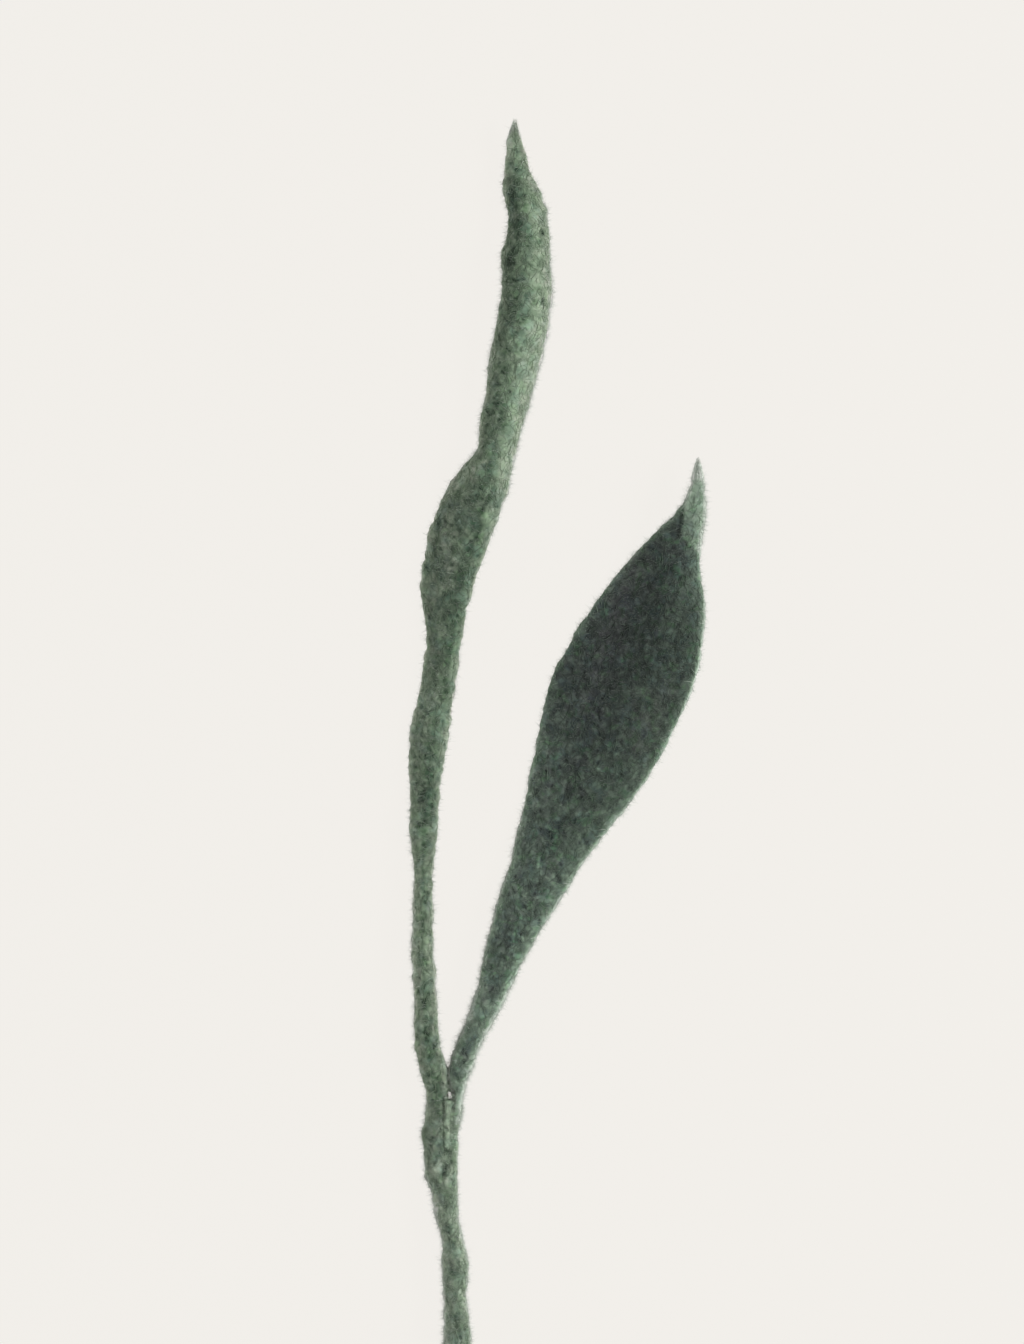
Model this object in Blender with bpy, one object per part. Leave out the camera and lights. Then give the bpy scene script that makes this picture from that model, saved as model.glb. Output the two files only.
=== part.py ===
"""Felt leaf stem: a handmade spray of two felted wool leaves on wires, lying on a table.

The spray is drawn from its fork, where the two leaf stalks meet: +Y runs up the spray, +X to its
right and +Z away from the table. Every felted piece is a loft along its ridge line, from a round
stalk to a thin curled blade, and holds the bore of its armature wire.
"""

import math
from typing import NamedTuple

import bmesh
import bpy
import numpy as np

MM = 0.001

# Driving dimensions, in millimetres.
FORK = (-25.0, -30.7)      # the fork, from the middle of the spray's box
GAP = 0.3                  # between pieces that touch
SLEEVE_TOP = -9.0          # the stem's upper end, below the fork
STEM_END = -158.0          # the stem's cut end
WIRE_DIAMETER = 1.0
WIRE_PITCH = 1.3           # the two wires, side by side in the stem
WIRE_TAIL = 1.2            # bare wire beyond the stem's cut end
TALL_WIRE_END = 186.0      # where the wires stop inside the blades
BROAD_WIRE_END = 112.0
BORE_CLEARANCE = 0.3       # between a wire and its bore, all round

# How finely the pieces are drawn.
SECTION_SIDES = 24
STEM_SIDES = 16
EVEN_SPACING = 0.6         # of a section's points, 1 where they are even, 0 where they crowd its edges
RING_STEP = 4.0            # between sections along a ridge line
WIRE_STEP = 4.0
WIRE_BEVEL_RESOLUTION = 2


class Station(NamedTuple):
    """One cross-section of a felted piece, in millimetres and degrees, measured from the fork."""

    y: float                  # the ridge line's place
    x: float
    left: float               # how far the felt reaches sideways from the ridge
    right: float
    thick: float              # of the felt at the ridge
    lift: float               # of the section's lowest point above the table
    roll: float = 0.0         # tilt of the felt at the ridge, positive where it falls to the right
    curl_left: float = 0.0    # how far each flank turns down by its edge, negative where it turns up
    curl_right: float = 0.0


TALL_LEAF = (
    # the round stalk, with a small elbow above the fork
    Station(SLEEVE_TOP + GAP, -2.65, 2.3, 2.3, 4.6, 0.8),
    Station(-3.0, -2.85, 2.25, 2.25, 4.5, 1.0),
    Station(2.0, -3.3, 2.6, 2.6, 4.8, 1.4),
    Station(9.0, -4.7, 3.05, 3.05, 5.2, 1.9),
    Station(18.0, -5.1, 2.6, 2.6, 5.0, 2.0),
    Station(33.0, -5.8, 2.5, 2.5, 4.8, 1.6),
    Station(46.0, -5.7, 2.2, 2.2, 4.5, 1.0),
    Station(57.0, -5.6, 3.1, 3.1, 4.5, 0.5),
    # the lower blade, a roof whose left side is the wide one
    Station(68.0, -4.8, 4.8, 3.8, 3.9, 0.1, 0, 25, 40),
    Station(79.0, -3.6, 6.2, 4.2, 3.3, 0.0, 0, 35, 60),
    Station(90.0, -0.9, 6.5, 3.2, 3.0, 0.2, 0, 42, 65),
    Station(101.0, 0.6, 6.5, 3.1, 2.9, 0.4, 0, 42, 70),
    Station(114.0, 2.9, 10.2, 3.2, 2.8, 0.4, 0, 38, 75),
    Station(124.0, 5.9, 11.5, 3.7, 2.7, 0.2, 0, 36, 80),
    Station(133.0, 8.0, 10.5, 4.8, 2.6, 0.1, 0, 42, 85),
    # the left side turns under within a few millimetres
    Station(139.0, 8.9, 8.6, 5.9, 2.6, 0.0, 0, 72, 90),
    Station(145.0, 9.8, 4.2, 5.9, 2.6, 0.0, 0, 128, 92),
    # the upper blade, rolled into a gutter
    Station(156.0, 12.1, 4.1, 6.5, 2.6, 0.0, 0, 140, 94),
    Station(168.0, 14.2, 5.0, 7.6, 2.6, 0.0, 0, 135, 95),
    Station(181.0, 16.4, 4.5, 7.6, 2.5, 0.1, 0, 135, 95),
    Station(190.0, 16.9, 5.0, 7.0, 2.5, 0.5, 0, 130, 92),
    Station(199.5, 17.3, 3.7, 5.9, 2.3, 1.1, 0, 115, 88),
    Station(206.5, 16.2, 3.9, 4.8, 2.1, 1.9, 0, 90, 78),
    Station(214.0, 15.4, 2.2, 2.7, 1.7, 2.9, 0, 60, 60),
    Station(221.3, 15.1, 0.35, 0.35, 0.7, 4.4),
)

BROAD_LEAF = (
    # the stalk, thinner than the other one below the crotch
    Station(SLEEVE_TOP + GAP, 1.65, 1.6, 1.6, 3.5, 1.2),
    Station(-3.0, 2.0, 1.6, 1.6, 3.5, 1.5),
    Station(1.5, 2.35, 2.2, 2.2, 3.9, 1.8),
    Station(8.0, 4.2, 2.9, 2.9, 4.4, 2.2),
    Station(19.0, 9.1, 3.3, 3.3, 4.4, 2.2),
    Station(33.0, 14.2, 5.4, 5.1, 3.9, 1.6, -4),
    # the blade widens evenly, tilted up to the right and a little hollow
    Station(45.0, 19.4, 6.9, 6.8, 3.4, 1.0, -9, -4, -4),
    Station(60.0, 25.9, 9.6, 9.8, 3.0, 0.3, -14, -8, -9),
    Station(76.0, 32.7, 13.0, 14.1, 2.8, 0.0, -18, -12, -13),
    Station(88.0, 37.7, 15.3, 15.4, 2.7, 0.0, -20, -14, -14),
    Station(100.0, 42.9, 14.3, 15.1, 2.6, 0.1, -20, -13, -12),
    Station(113.0, 48.4, 11.3, 11.3, 2.5, 0.8, -19, -6, 6),
    # the tip twists over towards the right
    Station(124.0, 53.1, 7.2, 5.8, 2.3, 2.0, -8, 22, 48),
    Station(131.0, 55.7, 3.7, 3.9, 2.1, 3.3, 22, 40, 55),
    Station(137.0, 57.3, 1.9, 2.1, 1.7, 4.8, 38, 30, 35),
    Station(143.6, 57.3, 0.35, 0.35, 0.7, 6.6),
)

STEM = (
    Station(SLEEVE_TOP, -1.55, 3.95, 3.95, 5.2, 0.7),
    Station(-14.0, -1.9, 4.05, 4.05, 5.6, 0.6),
    Station(-21.0, -1.4, 3.6, 3.6, 5.5, 0.7),
    Station(-28.0, -0.5, 2.8, 2.8, 5.2, 0.9),
    Station(-33.0, 0.5, 2.5, 2.5, 5.0, 1.0),
    Station(-41.0, 1.6, 3.1, 3.1, 5.8, 0.5),
    Station(-49.0, 1.7, 2.75, 2.75, 5.6, 0.4),
    Station(-56.0, 2.1, 3.2, 3.2, 6.0, 0.1),
    Station(-72.0, 2.5, 2.9, 2.9, 5.8, 0.0),
    Station(-90.0, 2.2, 3.1, 3.1, 6.0, 0.0),
    Station(-112.0, 1.2, 2.9, 2.9, 5.8, 0.3),
    Station(-134.0, 1.0, 3.05, 3.05, 6.0, 0.2),
    Station(-150.0, 1.9, 2.9, 2.9, 5.8, 0.0),
    Station(STEM_END, 2.5, 2.85, 2.85, 5.7, 0.0),
)

FELT_SAGE = (0.165, 0.205, 0.155, 1.0)
FELT_DARK_SAGE = (0.055, 0.072, 0.058, 1.0)
FELT_STEM = (0.190, 0.225, 0.180, 1.0)
WIRE_GREY = (0.300, 0.300, 0.290, 1.0)


def clear_scene():
    """Remove every object of the open scene."""
    for item in list(bpy.data.objects):
        bpy.data.objects.remove(item, do_unlink=True)


def new_collection(name):
    collection = bpy.data.collections.new(name)
    bpy.context.scene.collection.children.link(collection)
    return collection


def new_material(name, colour, roughness, metallic):
    material = bpy.data.materials.new(name)
    material.use_nodes = True
    shader = material.node_tree.nodes["Principled BSDF"]
    shader.inputs["Base Color"].default_value = colour
    shader.inputs["Roughness"].default_value = roughness
    shader.inputs["Metallic"].default_value = metallic
    material.diffuse_color = colour
    return material


def smooth_rows(rows, step):
    """Read rows of numbers from a smooth curve through them, evenly along their first two columns.

    Between two rows each column is a cubic whose slope at a row is the slope from the row before
    it to the row after it.
    """
    rows = np.array(rows, dtype=float)
    along = np.concatenate([[0.0], np.cumsum(np.hypot(*np.diff(rows[:, :2], axis=0).T))])
    slopes = np.gradient(rows, along, axis=0)
    places = np.linspace(0.0, along[-1], round(along[-1] / step) + 1)
    start = np.clip(np.searchsorted(along, places, side="right") - 1, 0, len(rows) - 2)
    span = (along[start + 1] - along[start])[:, None]
    t = (places - along[start])[:, None] / span
    return (
        rows[start] * (2 * t**3 - 3 * t**2 + 1)
        + slopes[start] * span * (t**3 - 2 * t**2 + t)
        + rows[start + 1] * (3 * t**2 - 2 * t**3)
        + slopes[start + 1] * span * (t**3 - t**2)
    )


def flank(reach, thick, roll, curl, share):
    """Half of a section's middle line, seen from the ridge: how far out and up it is, and its slope.

    The line turns evenly by curl from the ridge to its edge, so it is an arc. Its length is the one
    that makes it reach as far sideways as asked, with half the felt's thickness where it turns down.
    """
    curl = np.where(np.abs(curl) < 1e-4, 1e-4, curl)
    out = (np.sin(roll + curl * share) - np.sin(roll)) / curl
    up = (np.cos(roll + curl * share) - np.cos(roll)) / curl
    u = np.linspace(0.0, 1.0, 33)
    widest = np.max((np.sin(roll + curl * u) - np.sin(roll)) / curl, axis=1, keepdims=True)
    fold = np.sin(np.clip(roll + curl, 0.0, math.pi / 2))
    length = (reach - fold * thick / 2) / widest
    return out * length, up * length, roll + curl * share


def sections(stations, sides):
    """All sections of a felted piece as an array of rings by sides by XYZ, and its ridge line."""
    rows = smooth_rows(stations, RING_STEP)
    y, x, left, right, thick, lift, roll, curl_left, curl_right = rows.T[:, :, None]
    roll, curl_left, curl_right = np.radians([roll, curl_left, curl_right])
    # A section's outline is a circle on a stalk and a plump rounded strip on a blade. It runs
    # along the top from right to left and back along the underside.
    squareness = 2.0 + 1.2 * np.clip(1.0 - thick / (left + right), 0.0, 1.0)
    half = np.linspace(1.0, -1.0, sides // 2, endpoint=False)
    place = np.concatenate([half, -half])
    across = EVEN_SPACING * place + (1 - EVEN_SPACING) * np.sin(place * math.pi / 2)
    side = np.repeat([1.0, -1.0], sides // 2)
    skin = side * (1 - np.abs(across) ** squareness) ** (1 / squareness) * thick / 2
    out_r, up_r, slope_r = flank(right, thick, roll, curl_right, np.abs(across))
    out_l, up_l, slope_l = flank(left, thick, -roll, curl_left, np.abs(across))
    on_right = across >= 0
    slope = np.where(on_right, slope_r, -slope_l)
    out = np.where(on_right, out_r, -out_l) + skin * np.sin(slope)
    up = np.where(on_right, up_r, up_l) + skin * np.cos(slope)
    height = lift - up.min(axis=1, keepdims=True)
    ridge = np.hstack([x + FORK[0], y + FORK[1], height])
    ahead = np.gradient(ridge[:, :2], axis=0)
    ahead /= np.linalg.norm(ahead, axis=1, keepdims=True)
    sideways = np.stack([ahead[:, 1], -ahead[:, 0]], axis=1)
    rings = ridge[:, None, :].repeat(sides, axis=1)
    rings[:, :, :2] += out[:, :, None] * sideways[:, None, :]
    rings[:, :, 2] += up
    return rings * MM, ridge


def felted_piece(name, stations, sides, material, collection):
    """Loft a felted piece through its stations and close it at both ends."""
    rings, ridge = sections(stations, sides)
    bm = bmesh.new()
    loops = [[bm.verts.new(point) for point in ring] for ring in rings]
    for below, above in zip(loops, loops[1:]):
        for k in range(sides):
            bm.faces.new((below[k - 1], below[k], above[k], above[k - 1]))
    bm.faces.new(loops[0])
    bm.faces.new(loops[-1])
    bmesh.ops.recalc_face_normals(bm, faces=bm.faces)
    mesh = bpy.data.meshes.new(name)
    bm.to_mesh(mesh)
    bm.free()
    mesh.shade_smooth()
    mesh.set_sharp_from_angle(angle=math.radians(60))
    piece = bpy.data.objects.new(name, mesh)
    piece.data.materials.append(material)
    collection.objects.link(piece)
    return piece, ridge


def wire_route(stem_ridge, leaf_ridge, side, wire_end):
    """Points of one armature wire, from the stem's cut end to its end inside the blade."""
    lower = stem_ridge[stem_ridge[:, 1] < FORK[1] - 18.0][::-1]
    upper = leaf_ridge[leaf_ridge[:, 1] < FORK[1] + wire_end]
    lower = lower + (side * WIRE_PITCH / 2, 0.0, 0.0)
    tail = lower[0] - (0.0, WIRE_TAIL, 0.0)
    return smooth_rows(np.vstack([tail, lower, upper])[:, [1, 0, 2]], WIRE_STEP)[:, [1, 0, 2]]


def tube(name, route, diameter, collection):
    """A round bar along a route, as a curve with filled ends."""
    curve = bpy.data.curves.new(name, "CURVE")
    curve.dimensions = "3D"
    curve.bevel_depth = diameter / 2 * MM
    curve.bevel_resolution = WIRE_BEVEL_RESOLUTION
    curve.use_fill_caps = True
    spline = curve.splines.new("POLY")
    spline.points.add(len(route) - 1)
    for point, place in zip(spline.points, route * MM):
        point.co = (*place, 1.0)
    piece = bpy.data.objects.new(name, curve)
    collection.objects.link(piece)
    return piece


def as_mesh(curve_piece):
    """Turn a curve object into a closed mesh object of the same name and place."""
    name = curve_piece.name
    collection = curve_piece.users_collection[0]
    evaluated = curve_piece.evaluated_get(bpy.context.evaluated_depsgraph_get())
    mesh = bpy.data.meshes.new_from_object(evaluated)
    place = curve_piece.matrix_world.copy()
    bpy.data.objects.remove(curve_piece, do_unlink=True)
    bm = bmesh.new()
    bm.from_mesh(mesh)
    bmesh.ops.remove_doubles(bm, verts=bm.verts, dist=1e-6)
    bmesh.ops.recalc_face_normals(bm, faces=bm.faces)
    bm.to_mesh(mesh)
    bm.free()
    piece = bpy.data.objects.new(name, mesh)
    piece.matrix_world = place
    collection.objects.link(piece)
    return piece


def bore(piece, route, cutters):
    """Cut the bore of a wire that follows a route through a piece."""
    diameter = WIRE_DIAMETER + 2 * BORE_CLEARANCE
    cutter = as_mesh(tube(f"{piece.name}_bore", route, diameter, cutters))
    cutter.hide_render = True
    cutter.display_type = "WIRE"
    cut = piece.modifiers.new(cutter.name, "BOOLEAN")
    cut.operation = "DIFFERENCE"
    cut.solver = "EXACT"
    cut.object = cutter


def longer(route, start, end):
    """A route drawn out by so many millimetres at its start and its end, for a bore."""
    first = route[0] - (0.0, start, 0.0)
    ahead = route[-1] - route[-2]
    last = route[-1] + ahead / np.linalg.norm(ahead) * end
    return np.vstack([first, route, last])


def main():
    clear_scene()
    parts = new_collection("felt_leaf_stem")
    cutters = new_collection("cutters")
    sage = new_material("felt_sage", FELT_SAGE, 0.95, 0.0)
    dark_sage = new_material("felt_dark_sage", FELT_DARK_SAGE, 0.95, 0.0)
    stem_felt = new_material("felt_stem", FELT_STEM, 0.95, 0.0)
    wire = new_material("wire_grey", WIRE_GREY, 0.45, 1.0)

    tall_leaf, tall_ridge = felted_piece("tall_leaf", TALL_LEAF, SECTION_SIDES, sage, parts)
    broad_leaf, broad_ridge = felted_piece("broad_leaf", BROAD_LEAF, SECTION_SIDES, dark_sage, parts)
    stem, stem_ridge = felted_piece("stem", STEM, STEM_SIDES, stem_felt, parts)

    for leaf, ridge, side, wire_end in (
        (tall_leaf, tall_ridge, -1, TALL_WIRE_END),
        (broad_leaf, broad_ridge, 1, BROAD_WIRE_END),
    ):
        route = wire_route(stem_ridge, ridge, side, wire_end)
        armature = as_mesh(tube(f"{leaf.name}_wire", route, WIRE_DIAMETER, parts))
        armature.data.materials.append(wire)
        bore_route = longer(route, 1.0, BORE_CLEARANCE)
        bore(leaf, bore_route, cutters)
        bore(stem, bore_route, cutters)


main()
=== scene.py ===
"""Looks of a felt leaf stem: two felted wool leaves and their stem on wires, lying on a pale table.

Each felted piece is a surface through cross-sections along its ridge line, given in millimetres
from the fork where the two leaf stalks meet: +Y runs up the stem, +X to its right and +Z away from
the table. Lumps and creases are raised on the surface, and loose wool is laid over it, fibre by
fibre.
"""

import logging
import math
from dataclasses import astuple, dataclass
from enum import Enum
from itertools import product

import bpy
import numpy as np
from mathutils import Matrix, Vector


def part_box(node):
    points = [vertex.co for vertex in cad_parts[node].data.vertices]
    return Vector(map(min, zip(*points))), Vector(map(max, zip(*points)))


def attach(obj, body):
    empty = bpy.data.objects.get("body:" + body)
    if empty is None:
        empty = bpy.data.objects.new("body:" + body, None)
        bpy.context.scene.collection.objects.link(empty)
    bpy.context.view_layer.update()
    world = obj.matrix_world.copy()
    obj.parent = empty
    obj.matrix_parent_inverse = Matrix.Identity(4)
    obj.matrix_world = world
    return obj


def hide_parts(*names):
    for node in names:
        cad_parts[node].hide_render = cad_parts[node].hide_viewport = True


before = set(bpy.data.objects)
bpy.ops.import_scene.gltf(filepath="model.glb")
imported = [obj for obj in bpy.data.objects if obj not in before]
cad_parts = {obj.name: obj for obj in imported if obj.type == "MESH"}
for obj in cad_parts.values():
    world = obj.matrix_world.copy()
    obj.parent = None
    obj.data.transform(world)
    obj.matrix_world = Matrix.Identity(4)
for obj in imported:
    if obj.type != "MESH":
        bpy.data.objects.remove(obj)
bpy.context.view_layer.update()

MM = 0.001                 # a millimetre in metres; the sizes below are in millimetres
SLEEVE_TOP = -9.0          # where the stalks' own felt ends inside the stem, below the fork
SKIN_TOP = -3.4            # how far up the stalks the stem's skin of felt reaches
STEM_END = -158.0          # the stem's cut end
GAP = 0.3                  # between the stem and each stalk's own lower end
TABLE_CLEARANCE = 0.04     # of the lowest wool above the table
INSET = 0.14               # of the felt's surface inside a piece's outline, for the wool on it
BAKE_MAP = "OFBake"        # the UV map that every wool piece carries
LATTICE_NUMBERS = 4096     # how many random numbers a noise draws for its lattice
ARC_SAMPLES = 33           # places at which a flank's arc is tried for the widest one
LEAST_CURL = 1e-4          # radians: a straight flank counts as an arc that turns by this much
LEAST_STEP = 0.02          # of a surface's steps along and round it, where it draws together
RING_STEP = 0.4            # between a leaf's rings of points
TALL_SIDES = 144           # points in each ring of the tall leaf
ASKEW = np.array([[1, 2, 2], [2, 1, -2], [2, -2, 1]]) / 3   # turns the noise off the axes

Colour = tuple[float, float, float, float]

log = logging.getLogger("felt_leaf_stem")


@dataclass(frozen=True)
class Section:
    """One cross-section of a felted piece, in millimetres and degrees, measured from the fork."""

    y: float                  # the ridge line's place
    x: float
    left: float               # how far the felt reaches sideways from the ridge
    right: float
    thick: float              # of the felt at the ridge
    lift: float               # of the section's lowest point above the table
    roll: float = 0.0         # tilt of the felt at the ridge, positive where it falls to the right
    curl_left: float = 0.0    # how far a flank turns down by its edge, negative where it turns up
    curl_right: float = 0.0


@dataclass(frozen=True)
class Shade:
    """How pale a piece is painted at one place along it, from 0, darkest, to 1, palest."""

    # Partly the wool's own tone and partly painted light and shade: where a side faces the key lamp
    # it is painted paler, where it is turned away darker, and a thin tip paler.
    y: float
    left: float
    middle: float
    right: float
    uneven: float = 1.0        # how strong the mottling and the pits are there


@dataclass(frozen=True)
class Streak:
    """A wisp laid on a piece, or a crease or a hole in it, in millimetres from the fork."""

    start: tuple[float, float]
    end: tuple[float, float]
    width: float
    rise: float = 0.0          # of its middle over the felt, negative in a crease
    tone: float = 0.0          # how much paler the wool is there, and where negative, in a crease or a hole, the painted shade in it
    mauve: float = 0.0         # how much mauve-grey wool is mixed in there

    def share(self, x: np.ndarray, y: np.ndarray) -> np.ndarray:
        """Work out how much of the mark each place has: exp(-(distance / width)^2) from its line.

        Args:
            x: The places, in millimetres from the fork.
            y: The same along the stem.

        Returns:
            1 on the line from start to end, and towards 0 beside it.
        """
        ahead = np.subtract(self.end, self.start)
        length = max(float(ahead @ ahead), 1e-9)
        t = ((x - self.start[0]) * ahead[0] + (y - self.start[1]) * ahead[1]) / length
        t = np.clip(t, 0.0, 1.0)
        off = np.hypot(x - self.start[0] - t * ahead[0], y - self.start[1] - t * ahead[1])
        return np.exp(-((off / self.width) ** 2))


@dataclass(frozen=True)
class Fold(Streak):
    """A corner of a blade turned over: it lies right of the line from start to corner to end."""

    corner: tuple[float, float] = (0.0, 0.0)

    def share(self, x: np.ndarray, y: np.ndarray) -> np.ndarray:
        """Work out how much of the fold each place has, by its distance inside both lines.

        Args:
            x: The places, in millimetres from the fork.
            y: The same along the stem.

        Returns:
            1 on the fold and 0 off it, smooth over its width.
        """
        inside = np.inf
        for start, end in ((self.start, self.corner), (self.corner, self.end)):
            ahead = unit(np.subtract(end, start))
            inside = np.minimum(inside, (x - start[0]) * ahead[1] - (y - start[1]) * ahead[0])
        return smoothstep(-self.width, self.width, inside)


@dataclass(frozen=True)
class Lobes:
    """The two stalks inside the stem's skin at one place, in millimetres from the fork."""

    y: float
    tall_x: float
    tall_radius: float
    tall_z: float
    broad_x: float
    broad_radius: float
    broad_z: float


PINHOLE = Streak((-0.3, -3.1), (0.9, -1.7), 0.50, -1.10)   # between the stalks

TALL_LEAF = (
    # the round stalk, with a small elbow above the fork
    Section(SLEEVE_TOP + GAP, -2.65, 2.3, 2.3, 4.6, 0.8),
    Section(-3, -2.75, 2.25, 2.85, 4.5, 1),
    Section(-0.8, -2.9, 2.3, 3.2, 4.6, 1.2),
    Section(2, -3.3, 2.6, 3.5, 4.8, 1.4),
    Section(4.6, -3.8, 2.9, 3.3, 5, 1.6),
    Section(9, -4.7, 3.05, 3.05, 5.2, 1.9),
    Section(18, -5.1, 2.6, 2.6, 5, 2),
    Section(33, -5.8, 2.5, 2.5, 4.8, 1.6),
    Section(46, -5.7, 2.2, 2.2, 4.5, 1),
    Section(57, -5.6, 3.1, 3.1, 4.5, 0.5),
    # the lower blade, a roof whose left side is the wide one
    Section(68, -4.8, 4.8, 3.8, 3.9, 0.1, 0, 25, 40),
    Section(79, -3.6, 6.2, 4.2, 3.3, 0, 0, 35, 60),
    Section(90, -0.9, 6.5, 3.2, 3, 0.2, 0, 42, 65),
    Section(101, 0.6, 6.5, 3.1, 2.9, 0.4, 0, 42, 70),
    Section(114, 2.9, 10.2, 3.2, 2.8, 0.4, 0, 38, 75),
    Section(124, 5.9, 11.5, 3.7, 2.7, 0.2, 0, 36, 80),
    Section(133, 8, 10.5, 4.8, 2.6, 0.1, 0, 42, 85),
    # the left side turns under within a few millimetres
    Section(139, 8.9, 8.3, 5.9, 2.6, 0, 0, 75, 90),
    Section(142, 9.45, 5.6, 5.9, 2.6, 0.3, 0, 112, 91),
    Section(145, 10.1, 3.9, 5.9, 2.7, 0.3, 0, 128, 92),
    Section(149.5, 11.05, 4.2, 6.1, 2.6, 0.1, 0, 135, 93),
    # the upper blade, rolled into a gutter
    Section(156, 12.5, 4.3, 6.5, 2.6, 0, 0, 140, 94),
    Section(168, 14.7, 4.9, 7.5, 2.6, 0, 0, 135, 95),
    Section(181, 16.5, 4.5, 7.8, 2.5, 0.1, 0, 135, 95),
    Section(190, 17.2, 5, 7, 2.5, 0.5, 0, 130, 92),
    Section(199.5, 17.6, 3.8, 5.8, 2.3, 1.1, 0, 115, 88),
    Section(206.5, 16.2, 3.9, 4.8, 2.1, 1.9, 0, 90, 78),
    Section(213.7, 15.5, 2.6, 3, 1.7, 2.9, 0, 20, 20),
    Section(217.6, 15.3, 1.8, 1.75, 1, 3.9),
    Section(220.9, 15.4, 0.42, 0.42, 0.35, 4.6),
)
# painted light and shade across the leaf: its right side, facing the key lamp, painted paler, and
# the upper blade's left third, turned away, darker
TALL_SHADES = (
    Shade(0, 0.35, 0.3, 0.35, 0.95),
    Shade(10, 0.37, 0.32, 0.38, 0.9),
    Shade(30, 0.45, 0.38, 0.49, 0.9),
    Shade(52, 0.42, 0.29, 0.38, 0.85),
    Shade(71, 0.32, 0.26, 0.37, 0.85),
    Shade(86, 0.46, 0.4, 0.48, 0.8),
    Shade(104, 0.29, 0.27, 0.46, 0.7),
    Shade(116, 0.37, 0.27, 0.33, 0.7),
    Shade(121.5, 0.36, 0.27, 0.35, 0.7),
    Shade(131, 0.33, 0.28, 0.51, 0.75),
    Shade(140, 0.37, 0.43, 0.58, 0.9),
    Shade(153, 0.34, 0.36, 0.6, 0.95),
    Shade(166, 0.41, 0.42, 0.63),
    Shade(179, 0.29, 0.31, 0.58),
    Shade(191, 0.2, 0.4, 0.57),
    Shade(200, 0.15, 0.37, 0.54, 0.85),
    Shade(208, 0.34, 0.39, 0.53, 0.85),
    Shade(213, 0.42, 0.42, 0.5, 0.85),
    Shade(218, 0.54, 0.56, 0.58, 0.8),
    # the tip painted pale, as light shining through its thin wool
    Shade(220.9, 0.95, 0.95, 0.95, 0.8),
)
TALL_MARKS = (
    # the shoulder, where the left side turns under: its soft upper edge and the fold beside it,
    # with painted shade in the fold
    Streak((8.3, 143.8), (0.9, 136.4), 0.9, 0, 0.22),
    Streak((9.6, 143.6), (10.5, 134.2), 1.2, -0.15, -0.12),
    # greyer wool on the lower blade's left side, with pale wisps across it and shallow creases
    # painted darker as shade
    Streak((0.5, 137), (-2.6, 118), 2.6, 0, 0.01, 0.2),
    Streak((-3.2, 114), (-3.4, 96), 1.6, 0, 0, 0.2),
    Streak((2.6, 129.4), (6.4, 124.6), 0.45, 0.08, 0.14),
    Streak((0.6, 121.6), (5.4, 118), 0.45, 0.08, 0.14),
    Streak((7.6, 127.6), (4, 122.4), 0.5, -0.06, -0.12),
    Streak((11.4, 139), (7.6, 131.4), 0.6, -0.08, -0.1),
    Streak((0.9, 125.3), (3.3, 123.8), 0.38, 0.1, 0.2),
    Streak((6.1, 125.3), (6.6, 124.6), 0.42, 0.08, 0.16),
    Streak((9.3, 137), (8.1, 134), 0.4, 0.08, 0.16),
    Streak((8.8, 131.8), (8.9, 130.8), 0.45, 0.08, 0.16),
    Streak((12.2, 143.2), (12.6, 141.8), 0.8, 0.05, 0.12),
    Streak((-1.2, 132.2), (0.2, 130.2), 0.4, 0.06, 0.14, 0.3),
    Streak((3.2, 130.4), (2.6, 127.8), 0.7, -0.08, -0.12),
    Streak((1, 123.4), (1.6, 122.6), 0.6, -0.08, -0.12),
    Streak((2.6, 118.4), (3, 117.6), 0.7, -0.08, -0.14),
    Streak((-4.9, 119.6), (-4.6, 118.8), 0.5, -0.08, -0.12),
    Streak((-2.9, 118.4), (-2.5, 117.2), 0.5, -0.08, -0.1),
    # a flattened strip down the inner side of the stalk, into the fork
    Streak((-1.3, 4.4), (-0.6, -1.2), 0.55, 0.1, 0.16),
    PINHOLE,
    # holes between the matted fibres of the upper blade, painted dark as the shade in them
    Streak((21.6, 196.2), (21.9, 195.8), 0.42, -0.35, -0.5),
    Streak((21.9, 180.4), (21.9, 179.8), 0.48, -0.45, -0.6),
    Streak((12.1, 183.8), (12.3, 183.5), 0.42, -0.35, -0.5),
)

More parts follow.
